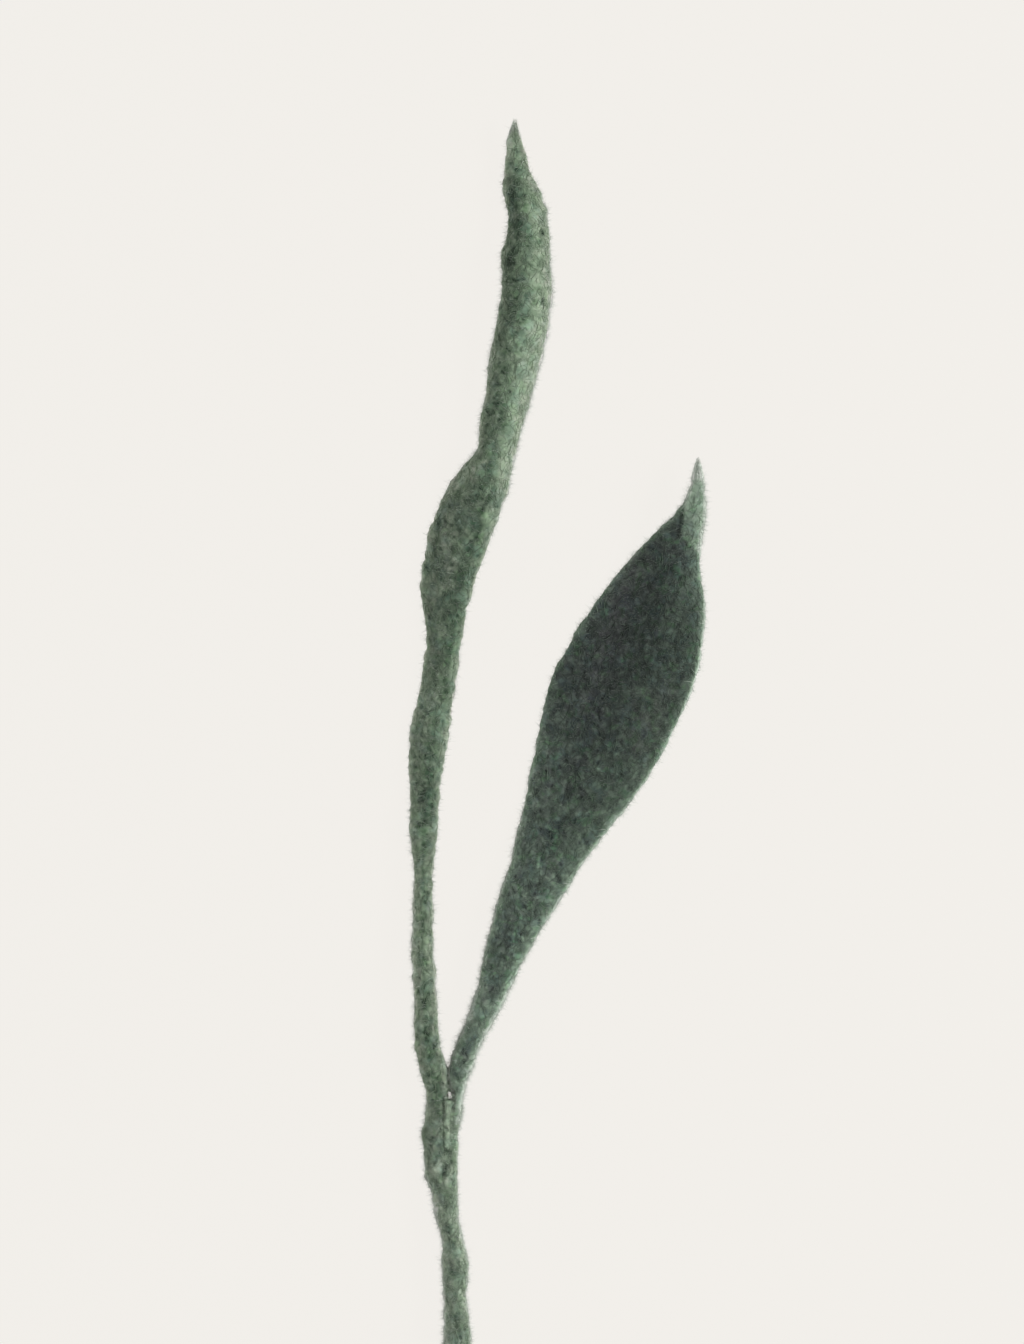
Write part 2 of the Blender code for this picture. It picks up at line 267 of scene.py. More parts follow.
BROAD_LEAF = (
    # the stalk, thinner than the other one below the crotch
    Section(SLEEVE_TOP + GAP, 1.35, 1.55, 1.5, 3.5, 1.2),
    Section(-3, 2, 1.25, 1.7, 3.5, 1.5),
    Section(-0.8, 2.15, 2.1, 1.95, 3.7, 1.6),
    Section(1.5, 2.35, 2.5, 2.35, 3.9, 1.8),
    Section(4.6, 3.1, 2.75, 2.75, 4.1, 2),
    Section(8, 4.2, 2.8, 2.9, 4.4, 2.2),
    Section(19, 9.1, 3.3, 3.3, 4.4, 2.2),
    Section(33, 14.2, 5.4, 5.1, 3.9, 1.6, -4),
    # the blade widens evenly, tilted up to the right and a little hollow
    Section(45, 19.4, 6.9, 6.8, 3.4, 1, -9, -4, -4),
    Section(60, 25.9, 9.6, 9.8, 3, 0.3, -14, -8, -9),
    Section(76, 32.7, 13, 14.1, 2.8, 0, -18, -12, -13),
    Section(88, 37.7, 15.3, 15.4, 2.7, 0, -20, -14, -14),
    Section(100, 42.9, 13.9, 15.1, 2.6, 0.1, -20, -13, -12),
    Section(113, 48.4, 10.9, 11.5, 2.5, 0.8, -19, -6, 6),
    # the tip twists over towards the right
    Section(124, 53.1, 7.2, 5.8, 2.3, 2, -8, 22, 48),
    Section(131, 55.7, 3.45, 3.9, 2.1, 3.3, 22, 40, 55),
    Section(137, 57.3, 1.9, 2.1, 1.7, 4.8, 38, 30, 35),
    Section(140.4, 57.4, 1.3, 1.3, 1, 5.8, 15, 10, 10),
    Section(142.9, 57.3, 0.45, 0.45, 0.35, 6.4, 4),
)
BROAD_SHADES = (
    Shade(-6, 0.54, 0.52, 0.58, 1.1),
    Shade(4, 0.5, 0.48, 0.57, 1.25),
    Shade(15, 0.55, 0.49, 0.59, 1.35),
    Shade(25, 0.43, 0.4, 0.49, 1.2),
    Shade(35, 0.41, 0.38, 0.47, 1.05),
    Shade(50, 0.45, 0.39, 0.51, 1),
    Shade(65, 0.41, 0.34, 0.45, 0.95),
    Shade(80, 0.31, 0.26, 0.38, 0.75),
    Shade(95, 0.24, 0.22, 0.34, 0.66),
    Shade(112, 0.22, 0.22, 0.38, 0.66),
    Shade(124, 0.27, 0.28, 0.33, 0.68),
    Shade(133, 0.29, 0.31, 0.33, 0.7),
    Shade(138.5, 0.22, 0.24, 0.24, 0.7),
    # the tip painted pale, as light shining through its thin wool
    Shade(142.9, 0.72, 0.72, 0.72, 0.7),
)
BROAD_MARKS = (
    # the tip's strip, folded over the blade, and the shadow line under it; the strip is painted
    # paler, partly as its paler underside wool and partly as painted light where it faces the key
    # lamp
    Fold((58.9, 120.6), (54.3, 134.6), 0.3, 0.3, 0.29, corner=(53.6, 126)),
    Streak((53.6, 131.6), (53, 126.4), 0.45, -0.25, -0.1),
    # the right edge painted paler, as light on its thickness from the key lamp
    Streak((58.9, 112), (57.5, 96), 0.55, 0, 0.12),
    Streak((57.5, 96), (50.9, 76), 0.55, 0, 0.16),
    # pale wisps across the narrowing half, and shallow creases painted darker as shade
    Streak((36.8, 77.7), (37.2, 77.1), 0.4, 0.08, 0.2),
    Streak((32.9, 74.4), (35.5, 71.7), 0.38, 0.08, 0.2),
    Streak((32, 78), (29.4, 71.5), 0.6, -0.08, -0.1),
    Streak((28.3, 67.8), (27.8, 66.6), 0.9, -0.08, -0.12),
    Streak((29.9, 58), (30.3, 57.2), 0.38, 0.08, 0.26),
    Streak((22.9, 59.1), (24.6, 58.5), 0.36, 0.08, 0.24),
    Streak((21.7, 56.7), (21.9, 55.9), 0.36, 0.08, 0.22),
    Streak((21.1, 53.3), (20.7, 50.2), 0.4, 0.08, 0.2),
    Streak((22.7, 53.8), (22.9, 52.8), 0.4, 0.08, 0.2),
    Streak((22.4, 48), (24.6, 45.9), 0.38, 0.08, 0.22),
    Streak((17.3, 43.7), (19.4, 40.9), 0.38, 0.08, 0.2),
    Streak((15.5, 41.1), (16.8, 39.3), 0.36, 0.08, 0.16),
    Streak((17.1, 34.3), (17.3, 33.5), 0.4, 0.08, 0.24),
    Streak((25.8, 51.2), (26, 50.6), 0.45, -0.12, -0.3),
    Streak((31.1, 57.6), (29.8, 55), 0.5, -0.1, -0.18),
    Streak((25.4, 47.5), (25.6, 46.9), 0.45, -0.1, -0.2),
    Streak((19, 42.4), (22, 41.5), 0.5, -0.08, -0.14),
    # mauve-grey wool in slanting bands
    Streak((49.5, 92), (43.5, 78), 3, 0, 0.05, 0.8),
    Streak((43, 122), (33, 86), 3.5, 0, 0, 0.6),
    PINHOLE,
)

# the stalks' thin lower ends, hidden in the stem
TALL_TUCK = (Section(-13, -2.4, 1, 1, 2, 2),)
BROAD_TUCK = (Section(-13, 0.6, 0.8, 0.8, 1.6, 2),)

STEM = (
    Section(STEM_END, 2.5, 2.85, 2.85, 5.7, 0),
    Section(-150, 1.9, 2.9, 2.9, 5.8, 0),
    Section(-134, 1, 3.05, 3.05, 6, 0.2),
    Section(-112, 1.2, 2.9, 2.9, 5.8, 0.3),
    Section(-90, 2.2, 3.1, 3.1, 6, 0),
    Section(-72, 2.5, 2.9, 2.9, 5.8, 0),
    Section(-56, 2.1, 3.2, 3.2, 6, 0.1),
    Section(-49, 1.7, 2.75, 2.75, 5.6, 0.4),
    Section(-41, 1.6, 3.1, 3.1, 5.8, 0.5),
    Section(-34.2, 0.75, 2.35, 2.3, 5, 1),
    Section(-31.3, 0, 2.7, 2.5, 5, 1),
    Section(-28, -0.4, 2.8, 2.9, 5.2, 0.9),
    Section(-21, -1.4, 3.6, 3.6, 5.5, 0.7),
    Section(-14, -1.9, 4.05, 4.05, 5.6, 0.6),
    Section(SLEEVE_TOP, -1.2, 4.1, 4.1, 5.2, 0.7),
    Section(SKIN_TOP, -0.45, 4.3, 4.3, 4.8, 0.8),
)
STEM_SHADES = (
    Shade(STEM_END, 0.5, 0.46, 0.46),
    Shade(-60, 0.52, 0.47, 0.46),
    Shade(-45, 0.5, 0.45, 0.44),
    Shade(-38, 0.5, 0.46, 0.46),
    Shade(-30, 0.58, 0.54, 0.5),
    Shade(-22, 0.46, 0.43, 0.46),
    Shade(-12, 0.38, 0.38, 0.44),
    Shade(-6, 0.4, 0.37, 0.42),
)
STEM_MARKS = (
    # the groove between the two stalks, filled with paler wool
    Streak((-0.1, -3.8), (-0.3, -14), 0.9, 0.4, 0.26),
    # two wisps wound round the stem on the slant, and the creases beside them with painted shade
    Streak((-2.9, -19.4), (-1.1, -16.7), 0.85, 0.2, 0.28),
    Streak((-0.4, -22), (0.4, -19), 0.8, 0.2, 0.28),
    Streak((1.2, -16.8), (-1.5, -21), 0.45, -0.12, -0.16),
    Streak((-3.4, -21.2), (-2, -23.8), 0.5, -0.1, -0.12),
    Streak((1.4, -20.2), (1, -24.4), 0.5, -0.1, -0.12),
    # further down, pale raised wisps and shallow creases painted darker as shade, by turns
    Streak((-1.9, -26), (-1.1, -27.4), 0.6, -0.1, -0.18),
    Streak((-3, -28.6), (-1.6, -28), 0.5, 0.12, 0.2),
    Streak((-0.4, -31.8), (0.3, -33.8), 0.6, -0.05, -0.14),
    Streak((1, -36), (1.3, -37.2), 0.6, -0.06, -0.16),
    Streak((0.6, -40.6), (1.2, -42.8), 0.7, -0.06, -0.14),
    Streak((2.4, -46.6), (3.1, -48.4), 0.65, 0.08, 0.16),
    Streak((3.7, -50.2), (4.3, -51.6), 0.55, 0.08, 0.2),
    Streak((1.2, -52), (2.2, -56), 0.8, -0.05, -0.12),
    Streak((0.6, -64), (2.4, -69), 0.8, 0.06, 0.12),
    Streak((3.2, -78), (1.8, -84), 0.8, -0.05, -0.12),
    Streak((1, -98), (2.6, -104), 0.8, 0.06, 0.12),
    Streak((0.2, -120), (1.8, -127), 0.8, -0.05, -0.12),
    # the right side painted paler, as the light of the key lamp on the right
    Streak((1.4, -24), (3.6, -44), 0.8, 0, 0.04),
)

STEM_LOBES = (
    Lobes(-27, -1.2, 2.3, 3.3, 0.4, 2, 3.2),
    Lobes(-20, -2.6, 2.5, 3.2, 0.6, 1.7, 3.1),
    Lobes(-14, -3.3, 2.7, 3.2, 0.55, 1.6, 3),
    Lobes(-11.5, -3.4, 2.8, 3.1, 0.7, 1.65, 3),
    Lobes(SLEEVE_TOP, -2.95, 2.4, 3.1, 1.2, 1.7, 3),
    Lobes(-6, -2.8, 2.3, 3.15, 1.6, 1.7, 3.1),
    Lobes(SKIN_TOP, -2.85, 1.9, 3.2, 1.95, 1.3, 3.2),
)


def unit(vectors: np.ndarray) -> np.ndarray:
    """Vectors along the last axis, drawn to a length of 1."""
    return vectors / np.maximum(np.linalg.norm(vectors, axis=-1, keepdims=True), 1e-9)


def smoothstep(low: float, high: float, value: np.ndarray) -> np.ndarray:
    """0 below low, 1 above high and 3t^2 - 2t^3 between them."""
    t = np.clip((value - low) / (high - low), 0.0, 1.0)
    return t * t * (3 - 2 * t)


def smooth_rows(rows: np.ndarray, step: float) -> np.ndarray:
    """Read rows of numbers from a smooth curve through them, evenly along their first two columns.

    Between two rows each column is a cubic whose slope at a row is the slope from the row before
    it to the row after it.

    Args:
        rows: The rows that the curve passes through.
        step: About how far apart the rows that are read lie.

    Returns:
        The rows read from the curve.
    """
    along = np.concatenate([[0.0], np.cumsum(np.hypot(*np.diff(rows[:, :2], axis=0).T))])
    slopes = np.gradient(rows, along, axis=0)
    places = np.linspace(0.0, along[-1], round(along[-1] / step) + 1)
    start = np.clip(np.searchsorted(along, places, side="right") - 1, 0, len(rows) - 2)
    span = (along[start + 1] - along[start])[:, None]
    t = (places - along[start])[:, None] / span
    return (
        rows[start] * (2 * t**3 - 3 * t**2 + 1)
        + slopes[start] * span * (t**3 - 2 * t**2 + t)
        + rows[start + 1] * (3 * t**2 - 2 * t**3)
        + slopes[start + 1] * span * (t**3 - t**2)
    )


def lattice_noise(places: np.ndarray, spacing: float, seed: int) -> np.ndarray:
    """Smooth random numbers from -1 to 1.

    Each corner of a cubic lattice, set askew, holds a random number, and a place reads the mean of
    the eight corners round it, each weighted by 3t^2 - 2t^3 along every axis.

    Args:
        places: Points in millimetres, XYZ along the last axis.
        spacing: The lattice's spacing in millimetres.
        seed: Picks the random numbers.

    Returns:
        One number for each place.
    """
    rng = np.random.default_rng(seed)
    numbers = rng.uniform(-1.0, 1.0, LATTICE_NUMBERS)
    shuffle = rng.permutation(LATTICE_NUMBERS)
    scaled = places @ ASKEW / spacing
    corner = np.floor(scaled).astype(np.int64)
    t = scaled - corner
    t = t * t * (3 - 2 * t)
    total = np.zeros(places.shape[:-1])
    for step in product((0, 1), repeat=3):
        key = 0
        for axis in (2, 1, 0):
            key = shuffle[(corner[..., axis] + step[axis] + key) % LATTICE_NUMBERS]
        weight = np.prod(np.where(np.array(step) == 1, t, 1 - t), axis=-1)
        total += weight * numbers[key]
    return total


def flank(
    reach: np.ndarray, thick: np.ndarray, roll: np.ndarray, curl: np.ndarray, share: np.ndarray
) -> tuple[np.ndarray, np.ndarray, np.ndarray]:
    """Half of a section's middle line, seen from the ridge.

    The line turns evenly by curl from the ridge to its edge, so it is an arc: out is the integral
    of cos(slope) and up that of -sin(slope). Its length is the one that makes it reach as far
    sideways as asked, with half the felt's thickness where it turns down.

    Args:
        reach: How far the flank reaches sideways.
        thick: The felt's thickness.
        roll: The slope at the ridge, in radians.
        curl: How much further the line turns down by its edge, in radians.
        share: The place along the flank, from 0 at the ridge to 1 at the edge.

    Returns:
        How far out and up each place is, and the line's slope there.
    """
    curl = np.where(np.abs(curl) < LEAST_CURL, LEAST_CURL, curl)
    out = (np.sin(roll + curl * share) - np.sin(roll)) / curl
    up = (np.cos(roll + curl * share) - np.cos(roll)) / curl
    u = np.linspace(0.0, 1.0, ARC_SAMPLES)
    widest = np.max((np.sin(roll + curl * u) - np.sin(roll)) / curl, axis=1, keepdims=True)
    fold = np.sin(np.clip(roll + curl, 0.0, math.pi / 2))
    length = (reach - fold * thick / 2) / widest
    return out * length, up * length, roll + curl * share


@dataclass(frozen=True)
class Loft:
    """The surface of a felted piece through its cross-sections, closed round its ridge line."""

    sections: tuple[Section, ...]
    ring_step: float
    sides: int
    even_spacing: float = 0.75   # of a section's points, 1 where even, 0 where they crowd its edges
    inset: float = INSET
    least: float = 0.2           # a section's least reach and thickness
    squarer: float = 1.2         # added to the power of a thin section's superellipse

    def rings(self) -> tuple[np.ndarray, np.ndarray]:
        """Work out the rings of points.

        A section's outline is a superellipse bent along the arc of its middle line. It runs along
        the top from right to left and back along the underside.

        Returns:
            The points, as rings by sides by XYZ in millimetres from the fork, and how far across
            its section each side is, from -1 at the left edge to 1 at the right one.
        """
        rows = smooth_rows(np.array([astuple(s) for s in self.sections]), self.ring_step)
        rows[:, 2:5] = np.maximum(rows[:, 2:5] - self.inset, self.least)
        y, x, left, right, thick, lift, roll, curl_left, curl_right = rows.T[:, :, None]
        roll, curl_left, curl_right = np.radians([roll, curl_left, curl_right])
        squareness = 2.0 + self.squarer * np.clip(1.0 - thick / (left + right), 0.0, 1.0)
        half = np.linspace(1.0, -1.0, self.sides // 2, endpoint=False)
        place = np.concatenate([half, -half])
        even = self.even_spacing
        across = even * place + (1 - even) * np.sin(place * math.pi / 2)
        side = np.repeat([1.0, -1.0], self.sides // 2)
        skin = side * (1 - np.abs(across) ** squareness) ** (1 / squareness) * thick / 2
        out_r, up_r, slope_r = flank(right, thick, roll, curl_right, np.abs(across))
        out_l, up_l, slope_l = flank(left, thick, -roll, curl_left, np.abs(across))
        on_right = across >= 0
        slope = np.where(on_right, slope_r, -slope_l)
        out = np.where(on_right, out_r, -out_l) + skin * np.sin(slope)
        up = np.where(on_right, up_r, up_l) + skin * np.cos(slope)
        height = lift - up.min(axis=1, keepdims=True)
        ridge = np.hstack([x, y, height])
        ahead = unit(np.gradient(ridge[:, :2], axis=0))
        sideways = np.stack([ahead[:, 1], -ahead[:, 0]], axis=1)
        rings = ridge[:, None, :].repeat(self.sides, axis=1)
        rings[:, :, :2] += out[:, :, None] * sideways[:, None, :]
        rings[:, :, 2] += up
        return rings, np.broadcast_to(across, rings.shape[:2])


@dataclass(frozen=True)
class ForkedLoft(Loft):
    """A loft that starts as a skin round two stalks that lie side by side."""

    lobes: tuple[Lobes, ...] = ()
    merge: tuple[float, float] = (-26.0, -17.0)   # over which the two lobes become one round stem
    groove: float = 1.8                           # from their middle to the skin between them
    tightness: int = 8                            # with which the skin follows the further stalk

    def rings(self) -> tuple[np.ndarray, np.ndarray]:
        """Work out the rings of points.

        Seen from between the stalks, the skin's distance in each direction is that of the further
        stalk's circle, drawn smooth with the groove's own distance: both are raised to the power
        of the tightness, added up, and the root is taken. Lower down the skin turns evenly into
        the loft's own sections.

        Returns:
            As for any loft.
        """
        rings, across = super().rings()
        y = rings[:, :, 1].mean(axis=1)
        rows = np.array([astuple(lobe) for lobe in self.lobes])
        at = [np.interp(y, rows[:, 0], column)[:, None] for column in rows.T[1:]]
        tall_x, tall_radius, tall_z, broad_x, broad_radius, broad_z = at
        eye_x = (tall_x + tall_radius + broad_x - broad_radius) / 2
        eye_z = (tall_z + broad_z) / 2
        angle = np.arange(self.sides) * (2 * math.pi / self.sides)
        power = self.groove**self.tightness
        for x, z, radius in ((tall_x, tall_z, tall_radius), (broad_x, broad_z, broad_radius)):
            aside, above = x - eye_x, z - eye_z
            toward = aside * np.cos(angle) + above * np.sin(angle)
            under_root = (radius - self.inset / 2) ** 2 - aside**2 - above**2 + toward**2
            far = np.where(under_root > 0, toward + np.sqrt(np.maximum(under_root, 0.0)), 0.0)
            power = power + np.maximum(far, 0.0) ** self.tightness
        skin = power ** (1 / self.tightness)
        lobed = rings.copy()
        lobed[:, :, 0] = eye_x + skin * np.cos(angle)
        lobed[:, :, 2] = eye_z + skin * np.sin(angle)
        share = smoothstep(*self.merge, y)[:, None, None]
        return rings * (1 - share) + lobed * share, across


def fork_place() -> np.ndarray:
    """Find the fork in the frame, by laying the tall leaf's outline over its node's box.

    Returns:
        Its place in millimetres, XYZ.
    """
    rings, _ = Loft(TALL_LEAF, RING_STEP, TALL_SIDES, inset=0.0).rings()
    own = rings.reshape(-1, 3)
    low, high = (np.array(corner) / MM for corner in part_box("tall_leaf"))
    return (low + high - own.min(axis=0) - own.max(axis=0)) / 2


FORK = fork_place()


@dataclass(frozen=True)
class Spots:
    """Spots on a felt surface, as ring and side numbers with fractions."""

    ring: np.ndarray
    side: np.ndarray


@dataclass
class Surface:
    """A felt surface: rings of points along a piece, each ring closed round it, in millimetres."""

    points: np.ndarray

    def __post_init__(self) -> None:
        """Work out the normals and how long one step along and round the surface is."""
        along = np.gradient(self.points, axis=0)
        round_it = (np.roll(self.points, -1, axis=1) - np.roll(self.points, 1, axis=1)) / 2
        self.normals = unit(np.cross(along, round_it))
        self.ring_length = np.maximum(np.linalg.norm(along, axis=2), LEAST_STEP)
        self.side_length = np.maximum(np.linalg.norm(round_it, axis=2), LEAST_STEP)
        middles = self.points.mean(axis=1)
        self.start_axis = unit(middles[0] - middles[3])
        self.end_axis = unit(middles[-1] - middles[-4])
        self.ring_step = float(np.linalg.norm(np.diff(middles, axis=0), axis=1).mean())

    def read(self, values: np.ndarray, spots: Spots) -> np.ndarray:
        """Read values at spots, blended between the four points round each.

        Args:
            values: A number or a vector for each point of the surface.
            spots: Where to read. Past the piece's ends its first or last ring is read.

        Returns:
            The value at each spot.
        """
        rings, sides = values.shape[:2]
        ring = np.clip(spots.ring, 0.0, rings - 1.001)
        low, near = ring.astype(int), np.floor(spots.side).astype(int)
        up, on = ring - low, spots.side - near
        near, far = near % sides, (near + 1) % sides
        if values.ndim == 3:
            up, on = up[..., None], on[..., None]
        return (values[low, near] * (1 - on) + values[low, far] * on) * (1 - up) + (
            values[low + 1, near] * (1 - on) + values[low + 1, far] * on
        ) * up

    def place(self, spots: Spots, height: np.ndarray) -> np.ndarray:
        """Find points over the surface, which runs straight on past its first and last rings.

        Args:
            spots: What the points stand over.
            height: How far off the felt each is, in millimetres.

        Returns:
            The points, XYZ along the last axis.
        """
        inside = np.clip(spots.ring, 0.0, len(self.points) - 1.0)
        beyond = (spots.ring - inside)[..., None] * self.ring_step
        axis = np.where(beyond < 0, -self.start_axis, self.end_axis)
        feet = self.read(self.points, spots) + beyond * axis
        return feet + self.read(self.normals, spots) * height[..., None]

    def scatter(self, count: int, rng: np.random.Generator, density: np.ndarray) -> Spots:
        """Draw spots on the surface, as many on each patch as its area times its density asks.

        Args:
            count: How many spots.
            rng: Draws them.
            density: One number for each point of the surface.

        Returns:
            The spots.
        """
        share = np.cumsum((self.ring_length * self.side_length * density)[:-1].ravel())
        patch = np.searchsorted(share, rng.random(count) * share[-1])
        ring, side = np.divmod(patch, self.points.shape[1])
        return Spots(ring + rng.random(count), side + rng.random(count))

    def wander(
        self, start: Spots, heading: np.ndarray, bend: np.ndarray, step: np.ndarray, count: int
    ) -> Spots:
        """Walk over the surface in steps of a given length along a heading that turns evenly.

        Args:
            start: Where each walk starts.
            heading: From the piece's own length, in radians.
            bend: How much the heading turns in a millimetre, in radians.
            step: Each walk's step in millimetres.
            count: How many spots each walk has.

        Returns:
            The spots, as walks by steps.
        """
        widest = self.points.shape[1] / 8
        ring, side = start.ring, start.side
        rings, sides = [ring], [side]
        for _ in range(count - 1):
            ring = ring + np.cos(heading) * step / self.read(self.ring_length, Spots(ring, side))
            turn = np.sin(heading) * step / self.read(self.side_length, Spots(ring, side))
            side = side + np.clip(turn, -widest, widest)
            heading = heading + bend * step
            rings.append(ring)
            sides.append(side)
        return Spots(np.stack(rings, axis=1), np.stack(sides, axis=1))


def new_object(
    name: str, points: np.ndarray, quads: np.ndarray, triangles: np.ndarray, uv: np.ndarray
) -> bpy.types.Object:
    """Make a mesh object from whole arrays.

    Args:
        name: The object's name.
        points: The vertices in millimetres.
        quads: Four vertex numbers for each four-sided face.
        triangles: Three vertex numbers for each triangle.
        uv: The bake map's place of each face corner, quads first.

    Returns:
        The object, at the origin, with its place in its mesh.
    """
    mesh = bpy.data.meshes.new(name)
    mesh.vertices.add(len(points))
    mesh.vertices.foreach_set("co", (points * MM).astype(np.float32).ravel())
    corners = np.concatenate([quads.ravel(), triangles.ravel()])
    mesh.loops.add(len(corners))
    mesh.loops.foreach_set("vertex_index", corners.astype(np.int32))
    starts = np.concatenate(
        [np.arange(len(quads)) * 4, quads.size + np.arange(len(triangles)) * 3]
    )
    mesh.polygons.add(len(starts))
    mesh.polygons.foreach_set("loop_start", starts.astype(np.int32))
    mesh.update(calc_edges=True)
    layer = mesh.uv_layers.new(name=BAKE_MAP)
    layer.uv.foreach_set("vector", uv.astype(np.float32).ravel())
    mesh.shade_smooth()
    mesh.validate()
    piece = bpy.data.objects.new(name, mesh)
    bpy.context.scene.collection.objects.link(piece)
    return piece


def felt_object(name: str, surface: Surface, strips: int) -> bpy.types.Object:
    """Make a felt surface a closed mesh, with a pole in the middle of each end.

    The bake map cuts the piece's length into strips that lie side by side, each as wide as the
    way round the piece.

    Args:
        name: The object's name.
        surface: The surface.
        strips: How many strips the map has.

    Returns:
        The object.
    """
    rings, sides = surface.points.shape[:2]
    number = np.arange(rings * sides).reshape(rings, sides)
    beside = np.roll(number, -1, axis=1)
    quads = np.stack([number[:-1], number[1:], beside[1:], beside[:-1]], axis=2).reshape(-1, 4)
    start_pole, end_pole = rings * sides, rings * sides + 1
    start = np.stack([number[0], beside[0], np.full(sides, start_pole)], axis=1)
    end = np.stack([beside[-1], number[-1], np.full(sides, end_pole)], axis=1)
    poles = surface.points[[0, -1]].mean(axis=1)
    points = np.vstack([surface.points.reshape(-1, 3), poles])

    bands = math.ceil((rings - 1) / strips)
    band, side = np.divmod(np.arange((rings - 1) * sides), sides)
    strip = band // bands
    low = (band - strip * bands)[:, None] + np.array([0, 1, 1, 0])
    turn = (side[:, None] + np.array([0, 0, 1, 1])) / sides
    edge = 0.01     # of a strip's width, left free on each side
    depth = 0.002   # of the map's height, for the fan round each pole
    quad_uv = np.stack(
        [(strip[:, None] + edge + (1 - 2 * edge) * turn) / strips, low / bands], axis=2
    )
    fan = np.stack([np.arange(sides), np.arange(sides) + 1, np.arange(sides) + 0.5], axis=1)
    deep = np.tile([0.0, 0.0, depth], (sides, 1))
    across = (edge + (1 - 2 * edge) * fan / sides) / strips
    start_uv = np.stack([across, deep], axis=2)
    end_uv = np.stack([across + (strips - 1) / strips, 1.0 - deep], axis=2)
    uv = np.vstack([quad_uv.reshape(-1, 2), start_uv.reshape(-1, 2), end_uv.reshape(-1, 2)])
    return new_object(name, points, quads, np.vstack([start, end]), uv)


def store(piece: bpy.types.Object, name: str, values: np.ndarray) -> None:
    """Keep one number for each vertex as an attribute; each pole gets the mean of the ring by it.

    Args:
        piece: A felt surface's object.
        name: The attribute's name.
        values: A number for each point of the surface, as rings by sides.
    """
    attribute = piece.data.attributes.new(name, "FLOAT", "POINT")
    every = np.concatenate([values.ravel(), values[[0, -1]].mean(axis=1)])
    attribute.data.foreach_set("value", every.astype(np.float32))


def fibre_object(
    name: str, paths: np.ndarray, radii: np.ndarray, normals: np.ndarray, tones: np.ndarray
) -> bpy.types.Object:
    """Make fibres a mesh: three-sided tubes along their paths, closed at both ends.

    Each fibre has a narrow column of the bake map to itself: across it is the fibre's tone, and
    up it is the place along the fibre.

    Args:
        name: The object's name.
        paths: Fibres by places by XYZ, in millimetres.
        radii: Fibres by places.
        normals: A direction away from the felt for each fibre.
        tones: Each fibre's tone, from 0, dark, to 1, pale.

    Returns:
        The object.
    """
    fibres, places = paths.shape[:2]
    ahead = unit(np.gradient(paths, axis=1))
    aside = unit(np.cross(ahead, normals[:, None, :] + 0.01))
    up = np.cross(aside, ahead)
    turn = np.radians([90.0, 210.0, 330.0])
    aside, up = aside[:, :, None, :], up[:, :, None, :]
    spokes = np.cos(turn)[:, None] * aside + np.sin(turn)[:, None] * up
    points = paths[:, :, None, :] + spokes * radii[:, :, None, None]
    number = np.arange(fibres * places * 3).reshape(fibres, places, 3)
    beside = np.roll(number, -1, axis=2)
    quads = np.stack(
        [number[:, :-1], beside[:, :-1], beside[:, 1:], number[:, 1:]], axis=3
    ).reshape(-1, 4)
    triangles = np.concatenate([number[:, 0, ::-1], number[:, -1]])

    column = 0.005   # a fibre's width on the map
    tone = 0.01 + 0.97 * tones
    shape = (fibres, places - 1, 3, 4)
    across = np.broadcast_to(tone[:, None, None, None] + column * np.array([0, 1, 1, 0]), shape)
    along = np.arange(places - 1)[:, None, None] + np.array([0, 0, 1, 1])
    along = np.broadcast_to(along / (places - 1), shape)
    quad_uv = np.stack([across, along], axis=4).reshape(-1, 2)
    end_tone = np.tile(tone, 2)[:, None] + column * np.array([0, 1, 0])
    end_along = np.repeat([0.0, 0.99], fibres)[:, None] + 0.01 * np.array([0, 0, 1])
    end_uv = np.stack([end_tone, end_along], axis=2).reshape(-1, 2)
    return new_object(name, points.reshape(-1, 3), quads, triangles, np.vstack([quad_uv, end_uv]))


